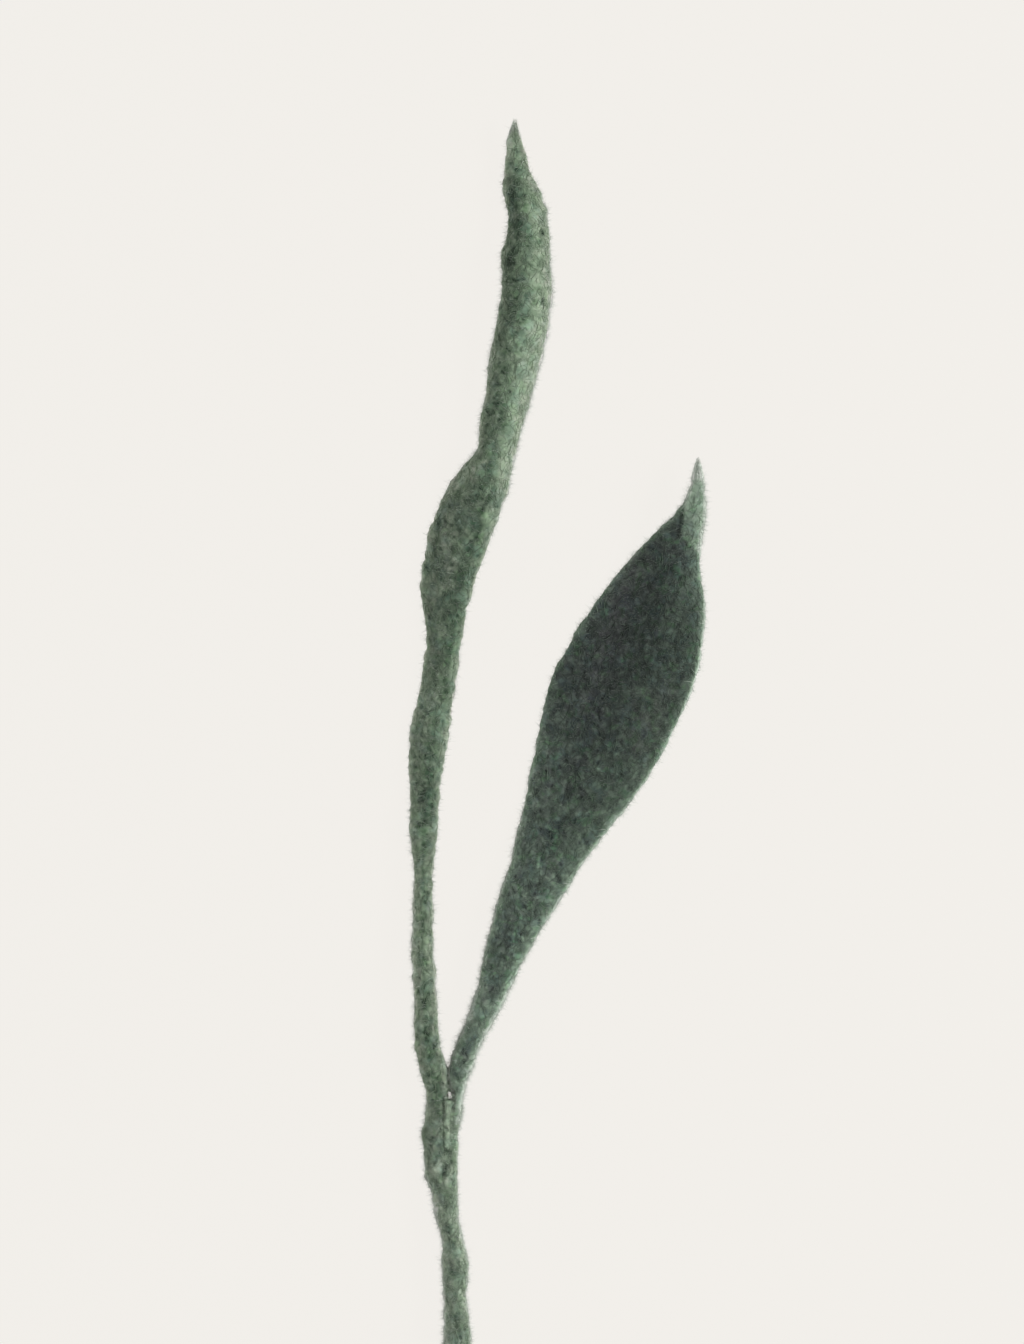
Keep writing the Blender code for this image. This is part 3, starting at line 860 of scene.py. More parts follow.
class Sketch:
    """Adds nodes to a node tree and joins them."""

    def __init__(self, tree: bpy.types.NodeTree) -> None:
        """Keep the tree."""
        self.tree = tree

    def feed(self, node: bpy.types.Node, inputs: dict) -> None:
        """Give a node's inputs, by name or number, their values or other nodes' sockets.

        Args:
            node: The node.
            inputs: What each of its inputs gets.
        """
        for name, value in inputs.items():
            if isinstance(value, bpy.types.NodeSocket):
                self.tree.links.new(value, node.inputs[name])
            else:
                node.inputs[name].default_value = value

    def add(self, kind: str, inputs: dict | None = None, **settings: object) -> bpy.types.Node:
        """Add a node.

        Args:
            kind: The node's type.
            inputs: Values or other nodes' sockets for its inputs, by name or number.
            settings: The node's own settings.

        Returns:
            The node.
        """
        node = self.tree.nodes.new(kind)
        for name, value in settings.items():
            setattr(node, name, value)
        self.feed(node, inputs or {})
        return node

    def maths(self, operation: str, *values: object, clamp: bool = False) -> bpy.types.NodeSocket:
        """Work out one number from others."""
        inputs = dict(enumerate(values))
        return self.add("ShaderNodeMath", inputs, operation=operation, use_clamp=clamp).outputs[0]

    def blend(self, share: object, first: object, second: object) -> bpy.types.NodeSocket:
        """Mix two colours: the first where share is 0, the second where it is 1."""
        inputs = {0: share, 6: first, 7: second}
        return self.add("ShaderNodeMix", inputs, data_type="RGBA").outputs[2]

    def product(self, first: object, second: object) -> bpy.types.NodeSocket:
        """Multiply two colours."""
        inputs = {0: 1.0, 6: first, 7: second}
        return self.add("ShaderNodeMix", inputs, data_type="RGBA", blend_type="MULTIPLY").outputs[2]

    def between(self, value: object, low: float, high: float) -> bpy.types.NodeSocket:
        """0 where value is low, 1 where it is high, smooth between them."""
        inputs = {"Value": value, "From Min": low, "From Max": high}
        return self.add("ShaderNodeMapRange", inputs, interpolation_type="SMOOTHSTEP").outputs[0]

    def spread(self, value: object, low: float, high: float) -> bpy.types.NodeSocket:
        """Spread a value from 0 to 1 evenly from low to high."""
        inputs = {"Value": value, "To Min": low, "To Max": high}
        return self.add("ShaderNodeMapRange", inputs).outputs["Result"]

    def noise(
        self, vector: bpy.types.NodeSocket, size: float, detail: float, shift: float
    ) -> bpy.types.NodeSocket:
        """Make smooth random numbers round 0.5.

        Args:
            vector: Where to read them, in millimetres.
            size: About how wide their blobs are, in millimetres.
            detail: How many finer layers of blobs are added.
            shift: Moves the blobs, so that two noises differ.

        Returns:
            The numbers.
        """
        inputs = {0: vector, 1: (shift, shift, shift)}
        moved = self.add("ShaderNodeVectorMath", inputs, operation="ADD").outputs[0]
        inputs = {"Vector": moved, "Scale": 1.0 / size, "Detail": detail}
        return self.add("ShaderNodeTexNoise", inputs).outputs[0]


class Finish(Sketch):
    """A new material and its nodes."""

    def __init__(self, name: str) -> None:
        """Make the material and find its shader.

        Args:
            name: The material's name.
        """
        self.material = bpy.data.materials.new(name)
        self.material.use_nodes = True
        super().__init__(self.material.node_tree)
        self.shader = self.tree.nodes["Principled BSDF"]

    def place(self) -> bpy.types.NodeSocket:
        """The place on the object, in millimetres."""
        inputs = {0: self.add("ShaderNodeTexCoord").outputs["Object"], "Scale": 1 / MM}
        return self.add("ShaderNodeVectorMath", inputs, operation="SCALE").outputs[0]


def new_group(name: str, inputs: dict[str, str], outputs: dict[str, str]) -> bpy.types.NodeTree:
    """Make an empty shader group.

    Args:
        name: The group's name.
        inputs: The type of each of its inputs, such as Float, by the input's name.
        outputs: The same for its outputs.

    Returns:
        The group.
    """
    tree = bpy.data.node_groups.new(name, "ShaderNodeTree")
    for way, sockets in (("INPUT", inputs), ("OUTPUT", outputs)):
        for socket, kind in sockets.items():
            tree.interface.new_socket(socket, in_out=way, socket_type=f"NodeSocket{kind}")
    return tree


class WoolPatterns:
    """The shader groups that the wool materials share."""

    def __init__(self) -> None:
        """Build both groups."""
        self.strands = self.matted_strands()
        self.mottle = self.wool_mottle()

    @staticmethod
    def matted_strands() -> bpy.types.NodeTree:
        """Fine curved strands: the lines along which smooth noises cross 0.5.

        Returns:
            The group. Strands is 1 on a strand, and Height is its rise over the felt.
        """
        tree = new_group(
            "matted_strands", {"Vector": "Vector"}, {"Strands": "Float", "Height": "Float"}
        )
        sketch = Sketch(tree)
        vector = sketch.add("NodeGroupInput").outputs["Vector"]
        total = None
        for size, width, shift in ((2.3, 0.030, 0.0), (1.7, 0.035, 40.0), (1.2, 0.045, 80.0)):
            level = sketch.noise(vector, size, 0.6, shift)
            off = sketch.maths("ABSOLUTE", sketch.maths("SUBTRACT", level, 0.5))
            line = sketch.between(off, width, 0.0)
            total = line if total is None else sketch.maths("MAXIMUM", total, line)
        patchy = sketch.between(sketch.noise(vector, 1.9, 1.0, 120.0), 0.35, 0.62)
        strands = sketch.maths("MULTIPLY", total, patchy)
        sketch.add("NodeGroupOutput", {"Strands": strands, "Height": total})
        return tree

    @staticmethod
    def wool_mottle() -> bpy.types.NodeTree:
        """Uneven wool: broad cloudy patches, and small flecks where differently dyed wool shows.

        Returns:
            The group. Its outputs run from 0 to 1.
        """
        layers = {                # each one's noise, and the values of it that become 0 and 1
            "Clouds": (6.0, 2.0, 7.0, 0.30, 0.70),
            "Blotches": (2.0, 1.0, 19.0, 0.30, 0.70),
            "Flecks": (0.9, 2.0, 31.0, 0.33, 0.67),
            "Mauve": (2.6, 2.0, 59.0, 0.46, 0.68),
            "Cool": (3.4, 2.0, 83.0, 0.44, 0.66),
            "Moss": (2.2, 2.0, 107.0, 0.52, 0.66),
        }
        tree = new_group("wool_mottle", {"Vector": "Vector"}, dict.fromkeys(layers, "Float"))
        sketch = Sketch(tree)
        vector = sketch.add("NodeGroupInput").outputs["Vector"]
        patterns = {}
        for name, (size, detail, shift, low, high) in layers.items():
            patterns[name] = sketch.between(sketch.noise(vector, size, detail, shift), low, high)
        sketch.add("NodeGroupOutput", patterns)
        return tree


@dataclass(frozen=True)
class WoolBlend:
    """The dyed wools that one felted piece is made of, from dark to pale, and its record's slot."""

    slot: str
    hollow: Colour                            # painted shade deep between the fibres
    deep: Colour
    main: Colour
    pale: Colour
    bloom: Colour = (0.46, 0.49, 0.45, 1.0)   # the palest wool; the painted light at edges and tips reaches it
    mauve: Colour = (1.16, 0.96, 1.12, 1.0)   # what mauve-grey wool multiplies the colour by
    cool: Colour = (0.90, 0.98, 1.06, 1.0)    # and what bluish wool multiplies it by
    moss: Colour = (0.92, 1.02, 0.90, 1.0)    # and what mossy green wool multiplies it by
    sheen: float = 0.35

    def shades(self, sketch: Sketch, tone: bpy.types.NodeSocket) -> bpy.types.NodeSocket:
        """Turn tones into the wool's colours, evenly from each of the five to the next.

        Args:
            sketch: The material's nodes.
            tone: From 0, in a hollow, to 1, in the bloom.

        Returns:
            The colour.
        """
        ramp = sketch.add("ShaderNodeValToRGB", {"Fac": tone})
        elements = ramp.color_ramp.elements
        elements[0].position, elements[0].color = 0.0, self.hollow
        elements[1].position, elements[1].color = 1.0, self.bloom
        for position, colour in ((0.22, self.deep), (0.5, self.main), (0.76, self.pale)):
            elements.new(position).color = colour
        return ramp.outputs["Color"]

    def felt(self, patterns: WoolPatterns) -> bpy.types.Material:
        """The matted felt itself.

        The mottling makes it darker and paler, less so where it is pale anyway, and mixes in
        mauve-grey, bluish and mossy wool. Strands and flecks raise it a little.

        Args:
            patterns: The shared shader groups.

        Returns:
            The material, which reads the piece's attributes tone, mauve and uneven.
        """
        finish = Finish(f"{self.slot}_body")
        inputs = {"Vector": finish.place()}
        mottle = finish.add("ShaderNodeGroup", inputs, node_tree=patterns.mottle).outputs
        strands = finish.add("ShaderNodeGroup", inputs, node_tree=patterns.strands).outputs
        tone, mauve, unevenness = (
            finish.add("ShaderNodeAttribute", attribute_name=name).outputs["Fac"]
            for name in ("tone", "mauve", "uneven")
        )
        uneven = -0.28
        for source, share in (
            (mottle["Flecks"], 0.12),
            (mottle["Blotches"], 0.28),
            (mottle["Clouds"], 0.12),
            (strands["Strands"], 0.10),
        ):
            uneven = finish.maths("MULTIPLY_ADD", source, share, uneven)
        calmer = finish.maths("MULTIPLY_ADD", tone, -1.25, 1.35, clamp=True)
        uneven = finish.maths("MULTIPLY", uneven, unevenness)
        colour = self.shades(finish, finish.maths("MULTIPLY_ADD", uneven, calmer, tone))
        mauve = finish.maths("MULTIPLY_ADD", mottle["Mauve"], 0.45, mauve, clamp=True)
        cool, moss = (finish.maths("MULTIPLY", mottle[name], calmer) for name in ("Cool", "Moss"))
        for share, tint in ((mauve, self.mauve), (cool, self.cool), (moss, self.moss)):
            colour = finish.blend(share, colour, finish.product(colour, tint))
        height = finish.maths("ADD", strands["Height"], mottle["Flecks"])
        bumps = {"Strength": 0.3, "Distance": 0.08 * MM, "Height": height}
        look = {
            "Base Color": colour,
            "Normal": finish.add("ShaderNodeBump", bumps).outputs["Normal"],
            "Roughness": finish.spread(mottle["Flecks"], 0.86, 1.0),
        }
        finish.feed(finish.shader, look | self.fuzz())
        return finish.material

    def fibre(self) -> bpy.types.Material:
        """Loose fibres, from dark to pale across the bake map, a little uneven along each.

        Returns:
            The material.
        """
        finish = Finish(f"{self.slot}_fibres")
        uv = finish.add("ShaderNodeUVMap", uv_map=BAKE_MAP).outputs["UV"]
        tone = finish.add("ShaderNodeSeparateXYZ", {"Vector": uv}).outputs["X"]
        inputs = {0: uv, 1: (60.0, 4.0, 1.0)}   # a few changes along each, and between neighbours
        grain = finish.add("ShaderNodeVectorMath", inputs, operation="MULTIPLY").outputs[0]
        uneven = finish.add("ShaderNodeTexNoise", {"Vector": grain, "Scale": 1.0}).outputs[0]
        tone = finish.maths("MULTIPLY_ADD", uneven, 0.3, finish.maths("SUBTRACT", tone, 0.15))
        look = {"Base Color": self.shades(finish, tone), "Roughness": 0.85}
        finish.feed(finish.shader, look | self.fuzz())
        return finish.material

    def fuzz(self) -> dict[str, object]:
        """A wool shader's faint gloss, and the sheen of its fine fuzz."""
        return {
            "Specular IOR Level": 0.12,
            "Sheen Weight": self.sheen,
            "Sheen Roughness": 0.35,
            "Sheen Tint": (0.80, 0.84, 0.79, 1.0),
        }


SAGE_WOOL = WoolBlend(
    slot="sage_felt",
    hollow=(0.012, 0.021, 0.013, 1.0),
    deep=(0.044, 0.070, 0.044, 1.0),
    main=(0.128, 0.178, 0.118, 1.0),
    pale=(0.245, 0.312, 0.222, 1.0),
)
# the broad leaf's wool: its colours are partly its own darker wool and partly painted shade, for a
# blade face turned from the key lamp
DARK_AND_SHADED_WOOL = WoolBlend(
    slot="dark_sage_felt",
    hollow=(0.013, 0.018, 0.015, 1.0),
    deep=(0.034, 0.043, 0.038, 1.0),
    main=(0.082, 0.112, 0.086, 1.0),
    pale=(0.170, 0.228, 0.168, 1.0),
    bloom=(0.44, 0.48, 0.43, 1.0),
    moss=(0.82, 1.04, 0.80, 1.0),
    sheen=0.15,
)
STEM_WOOL = WoolBlend(
    slot="stem_felt",
    hollow=(0.014, 0.022, 0.015, 1.0),
    deep=(0.048, 0.070, 0.048, 1.0),
    main=(0.124, 0.166, 0.116, 1.0),
    pale=(0.246, 0.308, 0.226, 1.0),
)


class Lie(Enum):
    """How the fibres of one layer of wool lie."""

    MATTED = "matted"        # pressed down, wandering over the felt
    STANDING = "standing"    # rooted in the felt and standing off it
    TUFT = "tuft"            # drawn out past the piece's end


@dataclass(frozen=True)
class Roots:
    """Where one layer's fibres start, how long each is and what draws their courses."""

    surface: Surface
    spots: Spots
    length: np.ndarray
    rng: np.random.Generator


@dataclass(frozen=True)
class Strands:
    """Where the fibres of one layer run."""

    paths: np.ndarray    # fibres by places by XYZ, in millimetres
    thin: np.ndarray     # how thick each place is, from 0 to 1
    match: Spots         # the felt whose wool each fibre matches


@dataclass(frozen=True)
class Nap:
    """One layer of loose wool on a felted piece, its sizes in millimetres."""

    name: str
    lie: Lie
    count: int
    places: int                              # along each fibre
    length: tuple[float, float]
    radius: tuple[float, float]
    tone: float                              # paler than the felt under it, more at the sides as painted light
    spread: float = 0.15                     # of the fibres' tones
    lift: tuple[float, float] = (0.0, 0.0)   # how high a matted fibre arches
    turning: float = 0.45                    # spread of its turns in a millimetre, in radians
    gather: float = 0.0                      # how far a tuft draws together, 1 at a point
    rooted: float = 6.0                      # how far from the piece's end a tuft is rooted
    at_start: bool = False                   # which end a tuft is at
    seed: int = 0

    def density(self, surface: Surface) -> np.ndarray:
        """Work out how thickly the fibres lie.

        Half as many lie on the underside. Standing ones are thickest at the sides, where they
        show, by (1 - how much the felt faces up or down)^1.3, and a tuft is rooted by its end.

        Args:
            surface: The felt.

        Returns:
            One number for each of the surface's points.
        """
        upward = surface.normals[:, :, 2]
        density = 1.0 - 0.5 * smoothstep(0.2, 0.8, -upward)
        if self.lie is Lie.STANDING:
            density = density * (0.12 + 3.0 * (1 - np.abs(upward)) ** 1.3)
        elif self.lie is Lie.TUFT:
            steps = np.arange(len(surface.points))
            steps = steps if self.at_start else steps[::-1]
            density = density * (steps * surface.ring_step < self.rooted)[:, None]
        return density

    def build(self, surface: Surface, tone: np.ndarray) -> bpy.types.Object:
        """Lay the fibres on a surface.

        Short fibres are commoner than long ones, because the draw of a length is raised to the
        power of 1.5. A fibre is paler than its felt by tone at a piece's sides and by 0.3 of that
        on top: the extra paleness at the sides is painted light, for fuzz that catches the light at
        the outline. Pale fibres differ less from each other.

        Args:
            surface: The felt.
            tone: How pale the felt is at each of its points.

        Returns:
            The fibres as one object.
        """
        rng = np.random.default_rng(self.seed)
        spots = surface.scatter(self.count, rng, self.density(surface))
        shortest, longest = self.length
        length = shortest + (longest - shortest) * rng.uniform(0.0, 1.0, self.count) ** 1.5
        radius = rng.uniform(*self.radius, self.count)
        lay = {Lie.MATTED: self.mat, Lie.STANDING: self.stand, Lie.TUFT: self.draw_out}[self.lie]
        strands = lay(Roots(surface, spots, length, rng))
        radii = radius[:, None] * strands.thin
        paths = strands.paths
        paths[:, :, 2] = np.maximum(paths[:, :, 2], TABLE_CLEARANCE + radii)
        normals = surface.read(surface.normals, strands.match)
        tones = surface.read(tone, strands.match)
        # painted light: fibres are made paler by more at the sides than on top
        tones = tones + self.tone * (1.3 - normals[:, 2].clip(0.3, 1.0))
        tones = tones + rng.normal(0.0, self.spread, self.count) * (1.35 - tones).clip(0.5, 1.0)
        return fibre_object(self.name, paths, radii, normals, np.clip(tones, 0.0, 1.0))

    def mat(self, roots: Roots) -> Strands:
        """Press fibres into the felt.

        Each walks over the felt along a heading that turns evenly, and arches over it as lift
        times the sine of the way along it, with both ends tucked in.

        Args:
            roots: Where the fibres start.

        Returns:
            Where they run.
        """
        t = np.linspace(0.0, 1.0, self.places)
        heading = roots.rng.uniform(-math.pi, math.pi, self.count)
        bend = roots.rng.normal(0.0, self.turning, self.count)
        step = roots.length / (self.places - 1)
        walk = roots.surface.wander(roots.spots, heading, bend, step, self.places)
        arch = roots.rng.uniform(*self.lift, self.count)
        thin = 1.0 - 0.7 * np.abs(2 * t - 1) ** 4
        tuck = 0.07 - 0.15 * np.abs(2 * t - 1) ** 3
        paths = roots.surface.place(walk, arch[:, None] * np.sin(math.pi * t) + tuck)
        half = self.places // 2
        return Strands(paths, thin, Spots(walk.ring[:, half], walk.side[:, half]))

    def stand(self, roots: Roots) -> Strands:
        """Stand fibres on the felt.

        Each leaves it along a direction between its normal and the surface, and bends by the
        square of the way along it.

        Args:
            roots: Where the fibres start.

        Returns:
            Where they run.
        """
        surface, spots, rng = roots.surface, roots.spots, roots.rng
        t = np.linspace(0.0, 1.0, self.places)
        normal = surface.read(surface.normals, spots)
        root = surface.place(spots, np.full(self.count, -0.1))
        ahead = surface.place(Spots(spots.ring + 0.5, spots.side), np.zeros(self.count))
        tangent = unit(ahead - root - 0.1 * normal)
        aside = np.cross(normal, tangent)
        heading = rng.uniform(-math.pi, math.pi, self.count)
        level = np.cos(heading)[:, None] * tangent + np.sin(heading)[:, None] * aside
        lean = rng.uniform(0.2, 1.2, self.count)[:, None]
        out = np.cos(lean) * normal + np.sin(lean) * level
        droop = unit(rng.normal(size=(self.count, 3))) * rng.uniform(0.2, 0.7, (self.count, 1))
        reach = (roots.length[:, None] * t)[:, :, None]
        paths = root[:, None] + reach * (out[:, None] + droop[:, None] * t[:, None])
        return Strands(paths, 1.0 - 0.75 * t**2, spots)

    def draw_out(self, roots: Roots) -> Strands:
        """Draw fibres out past the piece's end.

        Each runs from the felt to a place beyond the end: straight on where gather is 0, to the
        line through the end's middle where it is 1, and it bulges a little on the way. Its length
        is how far it reaches beyond the end.

        Args:
            roots: Where the fibres start.

        Returns:
            Where they run.
        """
        surface, rng = roots.surface, roots.rng
        t = np.linspace(0.0, 1.0, self.places)
        root = surface.place(roots.spots, np.full(self.count, -0.05))
        tip = surface.points[0 if self.at_start else -1].mean(axis=0)
        axis = surface.start_axis if self.at_start else surface.end_axis
        beyond = (tip - root) @ axis + roots.length
        straight = root + beyond[:, None] * axis
        middle = tip + roots.length[:, None] * axis
        goal = straight + self.gather * (middle - straight)
        goal = goal + rng.normal(0.0, 0.14, (self.count, 3))
        bulge = rng.uniform(0.05, 0.22, self.count)[:, None] * np.sin(math.pi * t)
        normal = surface.read(surface.normals, roots.spots)
        paths = root[:, None] + (goal - root)[:, None] * t[:, None]
        paths = paths + normal[:, None] * bulge[:, :, None]
        return Strands(paths, 1.0 - 0.7 * t**2, roots.spots)


@dataclass(frozen=True)
class Lumps:
    """Unevenness of one size: how high its lumps are and how far apart, in millimetres."""

    height: float
    spacing: float
    seed: int


@dataclass(frozen=True)
class FeltedPiece:
    """A felted piece with its loose wool, in place of one CAD node."""

    name: str
    node: str
    loft: Loft
    wool: WoolBlend
    shades: tuple[Shade, ...]
    marks: tuple[Streak, ...]
    lumps: tuple[Lumps, ...]
    naps: tuple[Nap, ...]
    strips: int
    smooth_end: tuple[float, float]   # the places by the fork between which the lumps grow
    far_end: tuple[float, float] = (-4.0, 12.0)   # how far before the piece's end they shrink
    turn: float = 0.66                # how far across a section the side's own shade is reached
    rim_light_widths: tuple[float, float] = (0.65, 0.50)   # widths of the painted light by the left and right sides of the outline
    rim_light_tone: float = 0.44
    left_mauve: float = 0.32          # how much mauve-grey wool the left side holds
    right_mauve: float = 0.0          # and the right side, negative where it holds less
    pit_shade: float = 0.30           # how much darker a pit is painted, as the shade in it
    pit_sink: float = 0.14            # how far it sinks into the felt
    pit_spacing: float = 0.85
    pit_seed: int = 0

    def surface(self) -> tuple[Surface, dict[str, np.ndarray]]:
        """Raise the piece's lumps, marks and pits on its loft, and work out its wool.

        Returns:
            The surface in the frame, and how pale (tone, painted light and shade included), mauve
            and uneven the wool is at each point.
        """
        rings, across = self.loft.rings()
        smooth = Surface(rings)
        x, y = rings[:, :, 0], rings[:, :, 1]
        upper = smoothstep(-0.2, 0.3, smooth.normals[:, :, 2])
        tone, uneven = self.wool_tone(y, across)
        pits = self.pits(rings) * smoothstep(0.64, 0.50, tone) * uneven
        lumps = sum(n.height * lattice_noise(rings, n.spacing, n.seed) for n in self.lumps)
        rise = self.room(smooth, tone) * lumps - self.pit_sink * pits
        # the painted light by the outline seen from above, and the painted shade in the pits
        tone = tone + self.rim_light(rings) - self.pit_shade * pits
        mauve = self.left_mauve * smoothstep(0.0, 0.4, -across)
        mauve = mauve + self.right_mauve * smoothstep(0.2, 0.7, across)
        for mark in self.marks:
            share = mark.share(x, y) * upper
            rise = rise + mark.rise * share
            tone = tone + mark.tone * share
            mauve = mauve + mark.mauve * share
        points = rings + FORK + smooth.normals * rise[..., None]
        points[:, :, 2] = np.maximum(points[:, :, 2], TABLE_CLEARANCE)
        return Surface(points), {"tone": tone, "mauve": mauve, "uneven": uneven}

    def room(self, smooth: Surface, tone: np.ndarray) -> np.ndarray:
        """Work out how much of their full height the lumps have.

        It is the product of four shares: less by the smooth end, less by the far end, less on
        faces that look straight up or down, and less on pale wool.

        Args:
            smooth: The piece's surface without lumps.
            tone: How pale each of its points is.

        Returns:
            The share of their height for each point.
        """
        rings = len(smooth.points)
        from_end = (rings - 1 - np.arange(rings))[:, None] * smooth.ring_step
        grown = smoothstep(*self.smooth_end, smooth.points[:, :, 1])
        room = (0.15 + 0.85 * grown) * smoothstep(*self.far_end, from_end)
        room = room * (1.0 - 0.45 * np.abs(smooth.normals[:, :, 2]))
        return room * (1.0 - 0.5 * smoothstep(0.50, 0.70, tone))

    def wool_tone(self, y: np.ndarray, across: np.ndarray) -> tuple[np.ndarray, np.ndarray]:
        """Read between the shades along the piece and across it.

        Across it the middle's shade turns smoothly into the side's.

        Args:
            y: The points' places along the stem, in millimetres from the fork.
            across: How far across its section each is, from -1 at the left edge to 1.

        Returns:
            How pale, painted light and shade included, and how uneven the wool is.
        """
        rows = np.array([astuple(shade) for shade in self.shades])
        left, middle, right, uneven = (np.interp(y, rows[:, 0], column) for column in rows.T[1:])
        side = np.where(across > 0, right, left)
        tone = middle + (side - middle) * smoothstep(0.0, self.turn, np.abs(across))
        return tone, uneven

    def rim_light(self, rings: np.ndarray) -> np.ndarray:
        """Work out the painted light by the outline seen from above, where fuzz catches the light.

        It is rim_light_tone times exp(-distance / width) from the left side and from the right one.

        Args:
            rings: The piece's points.

        Returns:
            How much paler each point is painted.
        """
        middles = rings[:, :, :2].mean(axis=1)
        ahead = unit(np.gradient(middles, axis=0))
        across = rings[:, :, 0] * ahead[:, 1:] - rings[:, :, 1] * ahead[:, :1]
        from_left = across - across.min(axis=1, keepdims=True)
        from_right = across.max(axis=1, keepdims=True) - across
        left, right = self.rim_light_widths
        return self.rim_light_tone * (np.exp(-from_left / left) + np.exp(-from_right / right))

    def pits(self, places: np.ndarray) -> np.ndarray:
        """Find the small holes between matted fibres: where a fine noise is high, in patches.

        Args:
            places: The piece's points.

        Returns:
            1 in a hole, 0 on the felt.
        """
        fine = lattice_noise(places, self.pit_spacing, self.pit_seed + 1)
        patchy = lattice_noise(places, 5.0, self.pit_seed + 2)
        return smoothstep(0.42, 0.62, fine + 0.14 * patchy)

    def build(self, patterns: WoolPatterns) -> list[bpy.types.Object]:
        """Make the felt and its wool, dress them and put them in the frame.

        Args:
            patterns: The shared shader groups.

        Returns:
            The pieces.
        """
        surface, wool_at = self.surface()
        felt = felt_object(self.name, surface, self.strips)
        for attribute, values in wool_at.items():
            store(felt, attribute, values)
        felt.data.materials.append(self.wool.felt(patterns))
        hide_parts(self.node)
        fibre = self.wool.fibre()
        pieces = [felt]
        for nap in self.naps:
            wool = nap.build(surface, wool_at["tone"])
            wool.data.materials.append(fibre)
            pieces.append(wool)
        for piece in pieces:
            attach(piece, "root")
        return pieces


@dataclass(frozen=True)
class GrooveWool:
    """Pale wool laid along the groove between the two stalks, above and below a pinhole."""

    name: str = "groove_wool"
    slot: str = "stem_felt"
    count: int = 1100
    places: int = 6
    runs: tuple[tuple[float, float], ...] = ((-12.0, -3.2), (-1.6, 3.9))   # of Y, from the fork
    line: tuple[tuple[float, float], ...] = ((-12.0, -0.1), (-3.0, -0.1), (0.0, -0.35), (3.9, -0.6))
    width: float = 0.95
    height: tuple[float, float] = (2.8, 4.7)
    length: tuple[float, float] = (1.2, 3.4)
    radius: tuple[float, float] = (0.030, 0.060)
    tone: float = 0.50
    above: float = 0.45                         # share of the fibres above the pinhole
    slant: float = 0.30                         # spread of the fibres' slants to the groove
    waves: float = 0.12                         # spread of how far each one snakes aside
    seed: int = 400

    def build(self, wool: WoolBlend) -> bpy.types.Object:
        """Lay the fibres, denser in the middle of the groove.

        Each runs along the groove, slants over it and snakes by the sine of the way along it, and
        its ends dip by half a millimetre.

        Args:
            wool: What they are made of.

        Returns:
            The fibres as one object.
        """
        rng = np.random.default_rng(self.seed)
        ends = np.array(self.runs)
        run = (rng.random(self.count) < self.above).astype(int)
        low, high = ends[run, 0], ends[run, 1]
        y = low + (high - low) * rng.beta(1.3, 1.3, self.count)
        length = rng.uniform(*self.length, self.count)
        t = np.linspace(-0.5, 0.5, self.places)
        along = np.clip(y[:, None] + length[:, None] * t, low[:, None], high[:, None])
        place, middle = np.array(self.line).T
        slant = rng.normal(0.0, self.slant, self.count)
        aside = rng.normal(0.0, self.width / 2, self.count)[:, None]
        aside = aside + (slant * length)[:, None] * t
        aside = aside + rng.normal(0.0, self.waves, self.count)[:, None] * np.sin(2 * math.pi * t)
        x = np.interp(along, place, middle) + aside
        z = rng.uniform(*self.height, self.count)[:, None] - 0.5 * (2 * t) ** 2
        paths = FORK + np.stack([x, along, z], axis=2)
        radii = rng.uniform(*self.radius, self.count)[:, None] * (1.0 - 0.6 * np.abs(2 * t) ** 3)
        tones = np.clip(rng.normal(self.tone, 0.10, self.count), 0.0, 1.0)
        upward = np.tile([0.0, 0.0, 1.0], (self.count, 1))
        piece = fibre_object(self.name, paths, radii, upward, tones)
        piece.data.materials.append(wool.fibre())
        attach(piece, "root")
        return piece


@dataclass(frozen=True)
class AnnealedSteel:
    """Wire with a dull grey face and darker, browner patches of scale."""

    slot: str = "armature_wire"
    face: Colour = (0.30, 0.30, 0.29, 1.0)
    scale: Colour = (0.12, 0.105, 0.09, 1.0)
    patch: float = 1.5                         # millimetres
    rough: tuple[float, float] = (0.38, 0.70)  # of the face and of the scale

    def material(self) -> bpy.types.Material:
        """Metal that turns into scale in patches.

        Returns:
            The material.
        """
        finish = Finish(self.slot)
        scale = finish.between(finish.noise(finish.place(), self.patch, 4.0, 3.0), 0.35, 0.7)
        look = {
            "Base Color": finish.blend(scale, self.face, self.scale),
            "Roughness": finish.spread(scale, *self.rough),
            "Metallic": 1.0,
        }
        finish.feed(finish.shader, look)
        return finish.material


@dataclass(frozen=True)
class Armature:
    """The two wires inside the felt, which show at the stem's cut end."""

    nodes: tuple[str, ...] = ("tall_leaf_wire", "broad_leaf_wire")
    steel: AnnealedSteel = AnnealedSteel()

    def build(self) -> list[bpy.types.Object]:
        """Give both wires their finish.

        Returns:
            The wires.
        """
        material = self.steel.material()
        wires = [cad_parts[node] for node in self.nodes]
        for wire in wires:
            wire.data.materials.clear()
            wire.data.materials.append(material)
        return wires


